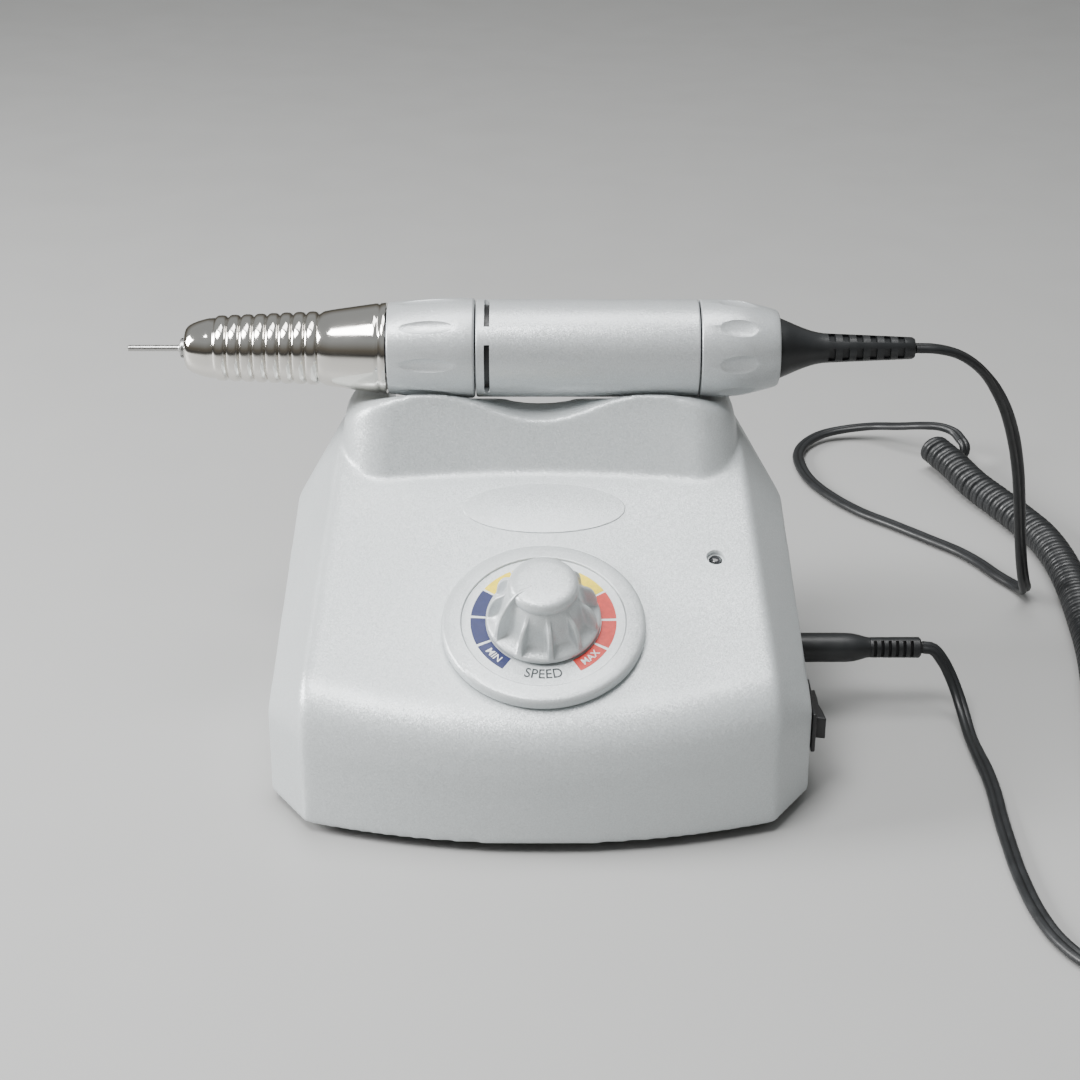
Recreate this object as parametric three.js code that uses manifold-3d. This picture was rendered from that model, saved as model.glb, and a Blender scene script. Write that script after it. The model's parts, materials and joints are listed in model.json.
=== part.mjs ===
// Electric nail drill: a control box with a cradle on top, a handpiece lying in the cradle, and the
// coiled cord that joins the handpiece to a jack in the side of the box. Millimetres, +Z up.
import * as THREE from 'three';
import { mergeVertices } from 'three/addons/utils/BufferGeometryUtils.js';
import Module from 'manifold-3d';

const wasm = await Module();
wasm.setup();

// ---------- driving dimensions ----------
// Inside both groups, X is measured from the middle of the box and Y from the axis of the handpiece.
const boxMiddleX = 5.25;
const handpieceY = 44.15;
const axisHeight = 98; // height of the handpiece axis above the table
const gap = 0.3; // least gap between neighbouring pieces

const box = {
  bottom: 3,
  frontY: -103.3,
  rearY: 15,
  bow: 10.2, // how far the middle of the front stands ahead of its ends
  wall: 2.5,
  rollRadius: 18, // front roll-over between the front face and the slope
  rearRadius: 8,
  chamfer: 15.5, // depth of the broad side chamfer, square to the side profile
  top: 75.5, // height where the slope ends, beside and under the cradle
  rearTaper: 1.27, // how much faster the top and rear draw in towards the sides than the slope does
};
const shoulder = { y: -19.2, z: 68 }; // where the sloping top meets the cradle
const slope = THREE.MathUtils.degToRad(22.2);
const seatRadius = 14.3;
const cradle = {
  halfWidth: 55,
  crownReach: 57.5, // where the crown would come down to its ends
  crownRise: 19.2, // height of the crown above the ends
  frontLean: 0.38, // how far the front face leans back per millimetre of height
  scallopHalf: 29.4, // half width of the finger scallop
};
const badge = { x: 1.1, y: -30.8, halfX: 22, halfY: 9.2 };
const dial = { x: 0.9, y: -70, radius: 26.4, thickness: 3.6 };
const knob = { radius: 14.8, capRadius: 8.75, height: 15.2, fins: 11, pointerAngle: 212 };
const led = { x: 46.8, y: -47.1, holeRadius: 2.5 };
const jack = { y: -29.5, z: 19.5, bore: 2.1 };
const rocker = { y: -66.6, z: 19.5, length: 19, height: 11.4, pivotX: 67.7, restTilt: 5 };
const inlet = { x: -8, z: 24, width: 20.4, height: 10.4 };
const footPlaces = [[-50, -74], [50, -74], [-50, 4], [50, 4]];
// Base screws: X, Y and the height that the boss above each one runs up to.
const screwPlaces = [[-34, -84, 40], [34, -84, 40], [-34, 6, 75.4], [34, 6, 75.4]];
const cord = { radius: 1.6, coilRadius: 4.75 };

// ---------- finishes ----------
const finish = (color, roughness, metalness) =>
  new THREE.MeshStandardMaterial({ color, roughness, metalness, flatShading: true });
const finishes = {
  pearl: finish(0xcdd4d6, 0.35, 0.25),
  satinGrey: finish(0xb0b7ba, 0.4, 0.3),
  chrome: finish(0xd8d6d0, 0.08, 1),
  steel: finish(0xa8a8a6, 0.25, 1),
  aluminium: finish(0xb8babc, 0.45, 0.9),
  blackPlastic: finish(0x24272a, 0.5, 0),
  rubber: finish(0x2c3032, 0.7, 0),
  label: finish(0xd6dbdd, 0.5, 0),
  lens: finish(0x141618, 0.15, 0),
  copper: finish(0xb4662e, 0.35, 1),
  iron: finish(0x55585c, 0.5, 0.8),
  magnet: finish(0x3a3a3e, 0.7, 0.2),
  board: finish(0x1f6b3a, 0.6, 0),
  carbon: finish(0x1c1c1e, 0.85, 0),
  brass: finish(0xc0a050, 0.3, 1),
};

// ---------- solid helpers ----------
function solid(geometry) {
  const bare = geometry.clone();
  bare.deleteAttribute('normal');
  bare.deleteAttribute('uv');
  const merged = mergeVertices(bare, 1e-4);
  const corners = merged.index.array;
  const triangles = [];
  for (let i = 0; i < corners.length; i += 3) {
    const [a, b, c] = [corners[i], corners[i + 1], corners[i + 2]];
    if (a !== b && b !== c && c !== a) {
      triangles.push(a, b, c);
    }
  }
  const vertProperties = new Float32Array(merged.attributes.position.array);
  if (signedVolume(vertProperties, triangles) < 0) {
    triangles.reverse();
  }
  const triVerts = new Uint32Array(triangles);
  return new wasm.Manifold(new wasm.Mesh({ numProp: 3, vertProperties, triVerts }));
}

function signedVolume(positions, triangles) {
  const corner = [new THREE.Vector3(), new THREE.Vector3(), new THREE.Vector3()];
  let volume = 0;
  for (let i = 0; i < triangles.length; i += 3) {
    corner.forEach((point, k) => point.fromArray(positions, 3 * triangles[i + k]));
    volume += corner[0].dot(corner[1].cross(corner[2]));
  }
  return volume;
}

function geometryOf(manifold) {
  const mesh = manifold.getMesh();
  const geometry = new THREE.BufferGeometry();
  geometry.setAttribute('position', new THREE.BufferAttribute(mesh.vertProperties, 3));
  geometry.setIndex(new THREE.BufferAttribute(mesh.triVerts, 1));
  return geometry;
}

function addPart(group, name, manifold, material) {
  const mesh = new THREE.Mesh(geometryOf(manifold), material);
  mesh.name = name;
  group.add(mesh);
}

const joined = (...pieces) => pieces.reduce((sum, piece) => sum.add(piece));
const without = (first, ...cuts) => cuts.reduce((rest, cut) => rest.subtract(cut), first);

// A block given by its lowest and highest corners.
function block([x0, y0, z0], [x1, y1, z1]) {
  const geometry = new THREE.BoxGeometry(x1 - x0, y1 - y0, z1 - z0);
  return solid(geometry.translate((x0 + x1) / 2, (y0 + y1) / 2, (z0 + z1) / 2));
}

// A turned piece. Each station is [place along the axis, radius]; an open outline closes on itself.
function turned(axis, stations, segments = 24) {
  const open = stations[0][1] > 0;
  const outline = open ? [...stations, stations[0]] : stations;
  const lathe = new THREE.LatheGeometry(outline.map(([s, r]) => new THREE.Vector2(r, s)), segments);
  if (axis === 'x') {
    lathe.rotateZ(-Math.PI / 2);
  } else {
    lathe.rotateX(Math.PI / 2);
  }
  return solid(lathe);
}

const rod = (axis, from, to, radius, segments = 20) =>
  turned(axis, [[from, 0], [from, radius], [to, radius], [to, 0]], segments);
const ring = (axis, from, to, outer, inner, segments = 24) =>
  turned(axis, [[from, inner], [from, outer], [to, outer], [to, inner]], segments);

// A flat outline [[a, b], ...] in the plane square to the axis, extruded from one place to another.
function prism(axis, outline, from, to) {
  const shape = new THREE.Shape(outline.map(([a, b]) => new THREE.Vector2(a, b)));
  const geometry = new THREE.ExtrudeGeometry(shape, { depth: to - from, bevelEnabled: false });
  if (axis === 'x') {
    geometry.applyMatrix4(new THREE.Matrix4().set(0, 0, 1, from, 1, 0, 0, 0, 0, 1, 0, 0, 0, 0, 0, 1));
  } else if (axis === 'y') {
    geometry.applyMatrix4(new THREE.Matrix4().set(1, 0, 0, 0, 0, 0, -1, to, 0, 1, 0, 0, 0, 0, 0, 1));
  } else {
    geometry.translate(0, 0, from);
  }
  return solid(geometry);
}

// An arc-shaped bar about the X axis, between two radii and two angles from +Y, in degrees.
function arcBar(from, to, inner, outer, startAngle, endAngle) {
  const steps = 5;
  const arc = (radius, k) => {
    const angle = THREE.MathUtils.degToRad(startAngle + ((endAngle - startAngle) * k) / steps);
    return [radius * Math.cos(angle), radius * Math.sin(angle)];
  };
  const outline = [];
  for (let k = 0; k <= steps; k += 1) {
    outline.push(arc(outer, k));
  }
  for (let k = steps; k >= 0; k -= 1) {
    outline.push(arc(inner, k));
  }
  return prism('x', outline, from, to);
}

// A closed skin over rings of equal length, with a fan over the first and the last.
function lofted(rings) {
  const count = rings[0].length;
  const centres = [rings[0], rings.at(-1)].map((points) =>
    points.reduce((sum, p) => sum.add(p), new THREE.Vector3()).divideScalar(count));
  const vertices = [...rings.flat(), ...centres];
  const index = [];
  for (let r = 0; r < rings.length - 1; r += 1) {
    for (let k = 0; k < count; k += 1) {
      const next = (k + 1) % count;
      const [a, b, c, d] = [r * count + k, r * count + next, (r + 1) * count + k, (r + 1) * count + next];
      index.push(a, b, c, b, d, c);
    }
  }
  const lastRing = (rings.length - 1) * count;
  for (let k = 0; k < count; k += 1) {
    const next = (k + 1) % count;
    index.push(next, k, rings.length * count);
    index.push(lastRing + k, lastRing + next, rings.length * count + 1);
  }
  const geometry = new THREE.BufferGeometry().setFromPoints(vertices);
  geometry.setIndex(index);
  return solid(geometry);
}

// A round tube along a smooth curve through the points.
function tubeAlong(points, radius, sides, steps) {
  const path = new THREE.CatmullRomCurve3(points.map((p) => new THREE.Vector3(...p)));
  const section = new THREE.Shape(
    Array.from({ length: sides }, (_, k) => {
      const angle = (2 * Math.PI * (k + 0.5)) / sides;
      return new THREE.Vector2(radius * Math.cos(angle), radius * Math.sin(angle));
    }),
  );
  return solid(new THREE.ExtrudeGeometry(section, { extrudePath: path, steps }));
}

const slopeHeight = (y) => shoulder.z + Math.tan(slope) * (y - shoulder.y);

// Moves a piece made about the local Z axis to a place on the sloping top, square to it.
function onSlope(manifold, x, y) {
  const place = new THREE.Matrix4().makeTranslation(x, y, slopeHeight(y));
  return manifold.transform(place.multiply(new THREE.Matrix4().makeRotationX(slope)).elements);
}

// ---------- control box ----------
const creaseX = (y) => 60.5 - 0.052 * (y + 93);
const sideX = (y) => 70.9 - 0.034 * (y + 80);

// Side profile of the box, from the foot of the front round over the top to the foot of the rear.
function sideProfile(cut, bow, bottom) {
  const front = box.frontY + bow + cut;
  const rear = box.rearY - box.rearTaper * cut;
  const top = box.top - box.rearTaper * cut;
  const drop = cut / Math.cos(slope);
  const roll = Math.max(box.rollRadius - cut, 0.6);
  const rollY = front + roll;
  const rollZ = slopeHeight(rollY) - drop - roll / Math.cos(slope);
  const rearRoll = Math.max(box.rearRadius - cut, 0.6);
  const outline = [[front, bottom]];
  const arc = (y, z, radius, start, end, steps) => {
    for (let k = 0; k <= steps; k += 1) {
      const angle = start + ((end - start) * k) / steps;
      outline.push([y + radius * Math.cos(angle), z + radius * Math.sin(angle)]);
    }
  };
  arc(rollY, rollZ, roll, Math.PI, Math.PI / 2 + slope, 6);
  outline.push([shoulder.y + (top + drop - shoulder.z) / Math.tan(slope), top]);
  arc(rear - rearRoll, top - rearRoll, rearRoll, Math.PI / 2, 0, 3);
  outline.push([rear, bottom]);
  return outline;
}

// The box form without its cradle, drawn in by an inset on every side and cut off at the bottom.
function boxForm(inset, bottom) {
  const column = (share) => {
    const outline = sideProfile(inset, box.bow * share * share, bottom);
    return outline.map(([y, z]) => new THREE.Vector3(share * (creaseX(y) - 0.52 * inset), y, z));
  };
  const edge = (side) => {
    const outline = sideProfile(box.chamfer + 0.315 * inset, box.bow, bottom);
    return outline.map(([y, z]) => new THREE.Vector3(side * (sideX(y) - inset), y, z));
  };
  const shares = [-1, -0.66, -0.33, 0, 0.33, 0.66, 1];
  return lofted([edge(-1), ...shares.map(column), edge(1)]);
}

// Height of the crowned top edge of the cradle across the box.
const crownHeight = (x) => 70 + cradle.crownRise * Math.sqrt(Math.max(1 - (x / cradle.crownReach) ** 6, 0));
// Floor of the finger scallop in the middle of the cradle.
const scallopHeight = (x) => 82 + 3.4 * (1 - Math.cos((Math.PI * x) / cradle.scallopHalf));

// Plan outline of the cradle at one height: rounded corners and a front face that leans back.
function cradleOutline(z, inset) {
  const half = cradle.halfWidth - 0.03 * (z - 70) - inset;
  const front = shoulder.y + cradle.frontLean * (z - shoulder.z) + 0.7 + 1.1 * inset;
  const rear = box.rearY - 0.6 - inset;
  const frontCorner = 12 - inset;
  const rearCorner = 9 - inset;
  const points = [];
  const corner = (x, y, radius, start) => {
    for (let k = 0; k <= 5; k += 1) {
      const angle = THREE.MathUtils.degToRad(start + 18 * k);
      points.push(new THREE.Vector3(x + radius * Math.cos(angle), y + radius * Math.sin(angle), z));
    }
  };
  const faceY = (x) => front - 2.2 * Math.min(Math.abs(x) / 45, 1) ** 2;
  const cornerX = half - frontCorner;
  corner(-cornerX, faceY(cornerX) + frontCorner, frontCorner, 180);
  for (const share of [-0.6, -0.2, 0.2, 0.6]) {
    points.push(new THREE.Vector3(share * cornerX, faceY(share * cornerX), z));
  }
  corner(cornerX, faceY(cornerX) + frontCorner, frontCorner, 270);
  corner(half - rearCorner, rear - rearCorner, rearCorner, 0);
  corner(rearCorner - half, rear - rearCorner, rearCorner, 90);
  return points;
}

// The cradle: a crowned block with a round seat along it, a finger scallop and an open rear middle.
function cradleForm(inset) {
  const stations = Array.from({ length: 25 }, (_, k) => -60 + 5 * k);
  const crown = stations.map((x) => [x, crownHeight(x) - inset]);
  const scallop = stations.filter((x) => Math.abs(x) <= 30).map((x) => [x, scallopHeight(x) - inset]);
  const blank = lofted([60, 70, 79, 92].map((z) => cradleOutline(z, inset)));
  const underCrown = prism('y', [[60, 50], ...crown.toReversed(), [-60, 50]], -40, 40);
  const seat = rod('x', -70, 70, seatRadius + inset, 36).translate(0, 0, axisHeight);
  const scallopCut = prism('y', [...scallop, [30, 110], [-30, 110]], -40, 40);
  const ramp = prism('x', [[-0.8, 82 - inset], [20, 70 - inset], [20, 110], [-0.8, 110]], -60, 60);
  const foot = 36 + inset;
  const head = 46 + inset;
  const rearMiddle = prism('y', [[-foot, 60], [foot, 60], [head, 95], [-head, 95]], -10, 40);
  return without(blank.intersect(underCrown), seat, scallopCut, ramp.intersect(rearMiddle));
}

function upperHousing() {
  const outer = boxForm(0, box.bottom).add(cradleForm(0));
  const hollow = boxForm(box.wall, box.bottom - 2).add(cradleForm(box.wall + 0.5));
  const pad = rod('z', -1, 0.4, 1, 28).scale([badge.halfX, badge.halfY, 1]);
  const bosses = screwPlaces.map(([x, y, top]) => ring('z', 5.8, top, 3.6, 1.3, 10).translate(x, y, 0));
  const body = joined(outer.subtract(hollow), onSlope(pad, badge.x, badge.y), ...bosses);
  const rockerSlot = block([55, rocker.y - 8.8, rocker.z - 5], [80, rocker.y + 8.8, rocker.z + 5]);
  const jackHole = rod('x', 60, 80, 4, 20).translate(0, jack.y, jack.z);
  const inletSlot = block(
    [inlet.x - inlet.width / 2 - gap, 5, inlet.z - inlet.height / 2 - gap],
    [inlet.x + inlet.width / 2 + gap, 25, inlet.z + inlet.height / 2 + gap],
  );
  const potHole = onSlope(rod('z', -12, 12, 4.3, 20), dial.x, dial.y);
  const ledHole = onSlope(rod('z', -12, 12, led.holeRadius, 16), led.x, led.y);
  return without(body, rockerSlot, jackHole, inletSlot, potHole, ledHole);
}

const boardSize = { x: [2, 46], y: [-70, -10], bottom: 9.7, thickness: 1.6 };
const boardHoles = [[5, -67], [43, -67], [5, -13], [43, -13]];

function baseCover() {
  const plate = boxForm(box.wall + 0.4, 3.2).intersect(block([-90, -120, 0], [90, 30, 5.4]));
  const posts = boardHoles.map(([x, y]) => rod('z', 5, boardSize.bottom - gap, 2.6, 12).translate(x, y, 0));
  const holes = screwPlaces.map(([x, y]) =>
    joined(rod('z', 0, 8, 1.5, 16), rod('z', 0, 4.5, 3.4, 16)).translate(x, y, 0));
  return without(joined(plate, ...posts), ...holes);
}

function controlBoard() {
  return block(
    [boardSize.x[0], boardSize.y[0], boardSize.bottom],
    [boardSize.x[1], boardSize.y[1], boardSize.bottom + boardSize.thickness],
  );
}

function heatSink(x, y, z) {
  const fins = Array.from({ length: 6 }, (_, k) =>
    block([x + 5 * k, y, z], [x + 5 * k + 1.4, y + 10, z + 22]));
  return joined(block([x, y, z], [x + 26.4, y + 2, z + 22]), ...fins);
}

function transformer(group, x, y, bottom) {
  const leg = 16;
  const window = 8;
  const width = 48;
  const height = 40;
  const depth = 22;
  const hole = (side) => {
    const middle = side * (leg + window) / 2;
    return block([middle - window / 2, -depth, 8], [middle + window / 2, depth, height - 8]);
  };
  const stack = block([-width / 2, -depth / 2, 0], [width / 2, depth / 2, height]);
  const core = without(stack, hole(-1), hole(1));
  const outside = [leg / 2 + window - gap, depth / 2 + 7.3];
  const inside = [leg / 2 + gap, depth / 2 + gap];
  const winding = block([-outside[0], -outside[1], 8 + gap], [outside[0], outside[1], height - 8 - gap])
    .subtract(block([-inside[0], -inside[1], 0], [inside[0], inside[1], height]));
  addPart(group, 'transformer_core', core.translate(x, y, bottom), finishes.iron);
  addPart(group, 'transformer_winding', winding.translate(x, y, bottom), finishes.copper);
}

function rockerSwitch(group) {
  const bezelX = 71;
  const middle = [0, rocker.y, rocker.z];
  const bezel = block([bezelX, -rocker.length / 2, -rocker.height / 2],
    [bezelX + 1.2, rocker.length / 2, rocker.height / 2]);
  const body = block([58, -8.5, -4.7], [bezelX + 0.1, 8.5, 4.7]);
  const pocket = block([63, -8.1, -3.6], [80, 8.1, 3.6]);
  addPart(group, 'switch_body', without(bezel.add(body), pocket).translate(middle), finishes.blackPlastic);
  const outline = [[6.7, -7.7], [6.2, 0], [6.7, 7.7], [-0.5, 5.6], [-2.2, 1.6], [-2.2, -1.6], [-0.5, -5.6]];
  const paddle = prism('z', outline, -3.1, 3.1).rotate([0, 0, rocker.restTilt]);
  addPart(group, 'switch_rocker', paddle.translate(rocker.pivotX, rocker.y, rocker.z), finishes.blackPlastic);
}

function jackSocket() {
  const body = joined(block([52, -5, -5.5], [66.2, 5, 5.5]), rod('x', 66, 68.9, 3.6, 20));
  return body.subtract(rod('x', 54, 72, jack.bore, 20)).translate(0, jack.y, jack.z);
}

function mainsInlet() {
  const half = [inlet.width / 2, inlet.height / 2];
  const body = block([-half[0], 0, -half[1]], [half[0], 14.7, half[1]]);
  const recess = block([-8.5, 4.5, -4], [8.5, 20, 4]);
  const pin = (x) => rod('z', -13, -4.2, 1.15, 12).rotate([90, 0, 0]).translate(x, 0, 0);
  return joined(body.subtract(recess), pin(-4.3), pin(4.3)).translate(inlet.x, 0, inlet.z);
}

// ---------- speed dial, drawn square to the sloping top with its axis on Z ----------
function dialPlate() {
  const { radius, thickness } = dial;
  return turned('z', [[gap, 4.3], [gap, radius - 0.8], [1.1, radius], [2.5, radius],
    [thickness, radius - 1.3], [thickness, 21.2], [thickness - 0.9, 21.2], [thickness - 0.9, 4.3]], 36);
}

// Levels of the knob above its skirt's underside: the fins reach the outer radius, the scoops the inner.
const knobLevels = [
  { z: 0, outer: knob.radius - 0.4, inner: knob.radius - 0.4 },
  { z: 0.4, outer: knob.radius, inner: knob.radius },
  { z: 1.2, outer: knob.radius - 0.3, inner: knob.radius - 0.3 },
  { z: 2, outer: 14.2, inner: 12.4 },
  { z: 4.3, outer: 14, inner: 10.9 },
  { z: 7.2, outer: 13.1, inner: 10.2 },
  { z: 9.4, outer: 9.9, inner: 9.7 },
  { z: 12, outer: knob.capRadius, inner: knob.capRadius },
  { z: 13.7, outer: knob.capRadius - 0.4, inner: knob.capRadius - 0.4 },
  { z: knob.height, outer: knob.capRadius - 3.6, inner: knob.capRadius - 3.6 },
];
// How much of a fin stands at each of the columns from one fin to the next.
const finShares = [1, 1, 0.35, 0, 0, 0.35];

function speedKnob() {
  const bottom = dial.thickness + 0.4;
  const count = knob.fins * finShares.length;
  const step = 360 / count;
  const firstTurn = knob.pointerAngle - step / 2;
  const rings = knobLevels.map(({ z, outer, inner }) =>
    Array.from({ length: count }, (_, k) => {
      const angle = THREE.MathUtils.degToRad(firstTurn + step * k);
      const radius = inner + (outer - inner) * finShares[k % finShares.length];
      return new THREE.Vector3(radius * Math.cos(angle), radius * Math.sin(angle), bottom + z);
    }));
  const shaftBore = rod('z', 0, bottom + 8.7, 3.3, 16);
  const nutSpace = rod('z', 0, bottom + 3, 8.2, 20);
  return without(lofted(rings), shaftBore, nutSpace);
}

function speedControl(group) {
  const knobBase = dial.thickness + 0.4;
  const bushing = ring('z', -4, 6.2, 3.95, 3.35, 20);
  const drum = without(rod('z', -11.5, -3.2, 8.5, 28), rod('z', -10.2, 0, 3.35, 20));
  const scaleBottom = dial.thickness - 0.6;
  addPart(group, 'dial_plate', dialPlate(), finishes.pearl);
  addPart(group, 'dial_scale', ring('z', scaleBottom, scaleBottom + 0.3, 20.8, 4.6, 36), finishes.label);
  addPart(group, 'speed_knob', speedKnob(), finishes.pearl);
  addPart(group, 'potentiometer', joined(drum, bushing), finishes.aluminium);
  addPart(group, 'potentiometer_shaft', rod('z', -9.8, knobBase + 8.4, 3, 20), finishes.aluminium);
  const nut = rod('z', 4, 6, 6.4, 6).subtract(rod('z', 3, 7, 4.3, 20));
  addPart(group, 'potentiometer_nut', nut, finishes.steel);
}

function controlBox(group) {
  addPart(group, 'upper_housing', upperHousing(), finishes.pearl);
  addPart(group, 'base_cover', baseCover(), finishes.blackPlastic);
  footPlaces.forEach(([x, y], k) => {
    const foot = turned('z', [[0, 0], [0, 5.4], [0.5, 6], [2.9, 6], [2.9, 0]], 20);
    addPart(group, `rubber_foot_${k + 1}`, foot.translate(x, y, 0), finishes.rubber);
  });
  screwPlaces.forEach(([x, y], k) => {
    const screw = turned('z', [[3.3, 0], [3.3, 2.7], [4.2, 3], [4.2, 1], [14, 1], [14, 0]], 14);
    addPart(group, `base_screw_${k + 1}`, screw.translate(x, y, 0), finishes.steel);
  });
  rockerSwitch(group);
  addPart(group, 'jack_socket', jackSocket(), finishes.blackPlastic);
  addPart(group, 'mains_inlet', mainsInlet(), finishes.blackPlastic);
  transformer(group, -30, -27, 5.8);
  const boardTop = boardSize.bottom + boardSize.thickness + gap;
  addPart(group, 'control_board', controlBoard(), finishes.board);
  const capacitor = rod('z', boardTop, boardTop + 22, 7, 20).translate(15, -56, 0);
  addPart(group, 'smoothing_capacitor', capacitor, finishes.blackPlastic);
  addPart(group, 'heat_sink', heatSink(10, -26, boardTop), finishes.aluminium);
  const transistor = block([18, -31, boardTop], [28, -26.4, boardTop + 15]);
  addPart(group, 'power_transistor', transistor, finishes.carbon);
  const ledBody = turned('z', [[-7, 0], [-7, 1.8], [-2.4, 1.8], [-1.2, 1.1], [-0.9, 0]], 16);
  const ledSleeve = ring('z', -6, -2.7, 3.6, 2.15, 16);
  addPart(group, 'indicator_led', onSlope(ledBody, led.x, led.y), finishes.lens);
  addPart(group, 'led_sleeve', onSlope(ledSleeve, led.x, led.y), finishes.blackPlastic);
  const dialGroup = new THREE.Group();
  dialGroup.position.set(dial.x, dial.y, slopeHeight(dial.y));
  dialGroup.rotation.x = slope;
  speedControl(dialGroup);
  group.add(dialGroup);
}

// ---------- handpiece, along X on its own axis ----------
const collarRings = { first: -88.1, pitch: 3.6, count: 8, growth: 0.157, depth: 0.8 };

function twistCollar() {
  const outside = [[-98.3, 4.7], [-97.7, 6], [-95.8, 7.1], [-93, 8], [-90.4, 8.6]];
  for (let k = 0; k < collarRings.count; k += 1) {
    const peak = collarRings.first + collarRings.pitch * k;
    const radius = 9.1 + collarRings.growth * k;
    outside.push([peak - 0.8, radius], [peak + 0.8, radius]);
    outside.push([peak + collarRings.pitch / 2, radius - collarRings.depth]);
  }
  outside.push([-60, 10.3], [-50, 11.7], [-45, 12.4], [-44.3, 12.1], [-43.8, 12.5], [-42.4, 12.6]);
  const inside = [[-42.4, 11.4], [-47, 10.6], [-58, 7.6], [-90, 7.35], [-90.6, 3.9], [-98.3, 3.9]];
  return turned('x', [...outside, ...inside], 18);
}

// Shallow oval hollows round a housing, one facing each eighth of a turn and tilted with the surface.
function dimples(x, radius, tilt, [halfLength, halfWidth, depth]) {
  return Array.from({ length: 8 }, (_, k) => {
    const ball = solid(new THREE.SphereGeometry(1, 8, 6)).scale([halfLength, halfWidth, depth]);
    return ball.rotate([0, tilt, 0]).translate(x, 0, radius).rotate([45 * k, 0, 0]);
  });
}

function frontHousing() {
  const shell = turned('x', [[-42, 12.3], [-41.6, 12.6], [-34, 13.35], [-27, 13.85], [-22, 13.9],
    [-18.4, 13.75], [-18, 13.4], [-18, 11.3], [-42, 11.3]], 32);
  return without(shell, ...dimples(-30.7, 13.95, -3.8, [9, 2.3, 0.9]));
}

const ventSlots = { count: 4, halfAngle: 34, first: 189.8 }; // angles in degrees about X, from +Y

function barrel() {
  const tube = turned('x', [[-17.6, 13.3], [-17.4, 13.5], [43.5, 13.5], [43.7, 13.3], [43.7, 12],
    [-17.6, 12]], 32);
  const slots = Array.from({ length: ventSlots.count }, (_, k) => {
    const middle = ventSlots.first + (360 * k) / ventSlots.count;
    return arcBar(-15.3, -13.8, 11, 15, middle - ventSlots.halfAngle, middle + ventSlots.halfAngle);
  });
  return without(tube, ...slots);
}

function rearCap() {
  const shell = turned('x', [[44.1, 13.3], [44.3, 13.5], [52.2, 13.4], [56.2, 12.95], [59.2, 12.25],
    [62.5, 11.4], [65, 10.6], [65.7, 10.2], [66, 9.8], [66, 8.75], [62.6, 8.75], [62.6, 10.3],
    [59.7, 10.3], [56.7, 11.2], [51.2, 12], [44.1, 12]], 32);
  return without(shell, ...dimples(54.8, 13.4, 6.4, [6.1, 2.7, 0.9]));
}

const reliefWindows = { first: 79.8, pitch: 3.85, width: 1.9, count: 6, turn: 12 };

function strainRelief() {
  const boot = turned('x', [[60, 0], [60, 9.9], [62.3, 9.9], [62.3, 8.4], [66.3, 8.4], [71, 6.4],
    [75, 4.9], [77, 4.4], [80, 4.05], [103.9, 3], [103.9, 0]], 20);
  const windows = [];
  for (let k = 0; k < reliefWindows.count; k += 1) {
    const x = reliefWindows.first + reliefWindows.pitch * k;
    const depth = 2.6 - 0.12 * k;
    const half = 2 - 0.08 * k;
    for (const quarter of [0, 90, 180, 270]) {
      const window = block([x, depth, -half], [x + reliefWindows.width, 6, half]);
      windows.push(window.rotate([quarter + reliefWindows.turn, 0, 0]));
    }
  }
  return without(boot, ...windows);
}

function collet() {
  const sleeve = turned('x', [[-99.7, 1.5], [-99.7, 2.5], [-99.4, 2.8], [-97.6, 2.8], [-97.2, 2.3],
    [-74, 2.3], [-74, 0.4], [-76.5, 0.4], [-76.5, 1.5]], 24);
  const slots = [0, 120, 240].map((turn) => block([-101, -0.25, 0], [-84, 0.25, 4]).rotate([turn, 0, 0]));
  return without(sleeve, ...slots);
}

function colletSpring() {
  const turns = 5;
  const stepsPerTurn = 8;
  const points = Array.from({ length: turns * stepsPerTurn + 1 }, (_, k) => {
    const angle = (2 * Math.PI * k) / stepsPerTurn;
    return [-57 + (7.5 * k) / (turns * stepsPerTurn), 4.6 * Math.cos(angle), 4.6 * Math.sin(angle)];
  });
  return tubeAlong(points, 0.4, 4, turns * stepsPerTurn);
}

function armature() {
  const core = joined(rod('x', -24.9, 40.4, 1.5, 20), rod('x', -2, 24, 8, 30));
  const slots = [0, 72, 144, 216, 288].map((turn) => block([-5, -1, 4], [25, 1, 12]).rotate([turn, 0, 0]));
  return without(core, ...slots);
}

function coolingFan() {
  const blades = Array.from({ length: 7 }, (_, k) =>
    block([-13.2, -0.5, 2.6], [-9, 0.5, 9.2]).rotate([(360 * k) / 7, 0, 0]));
  return joined(ring('x', -13.4, -8.8, 3.4, 1.85, 20), ...blades);
}

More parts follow.
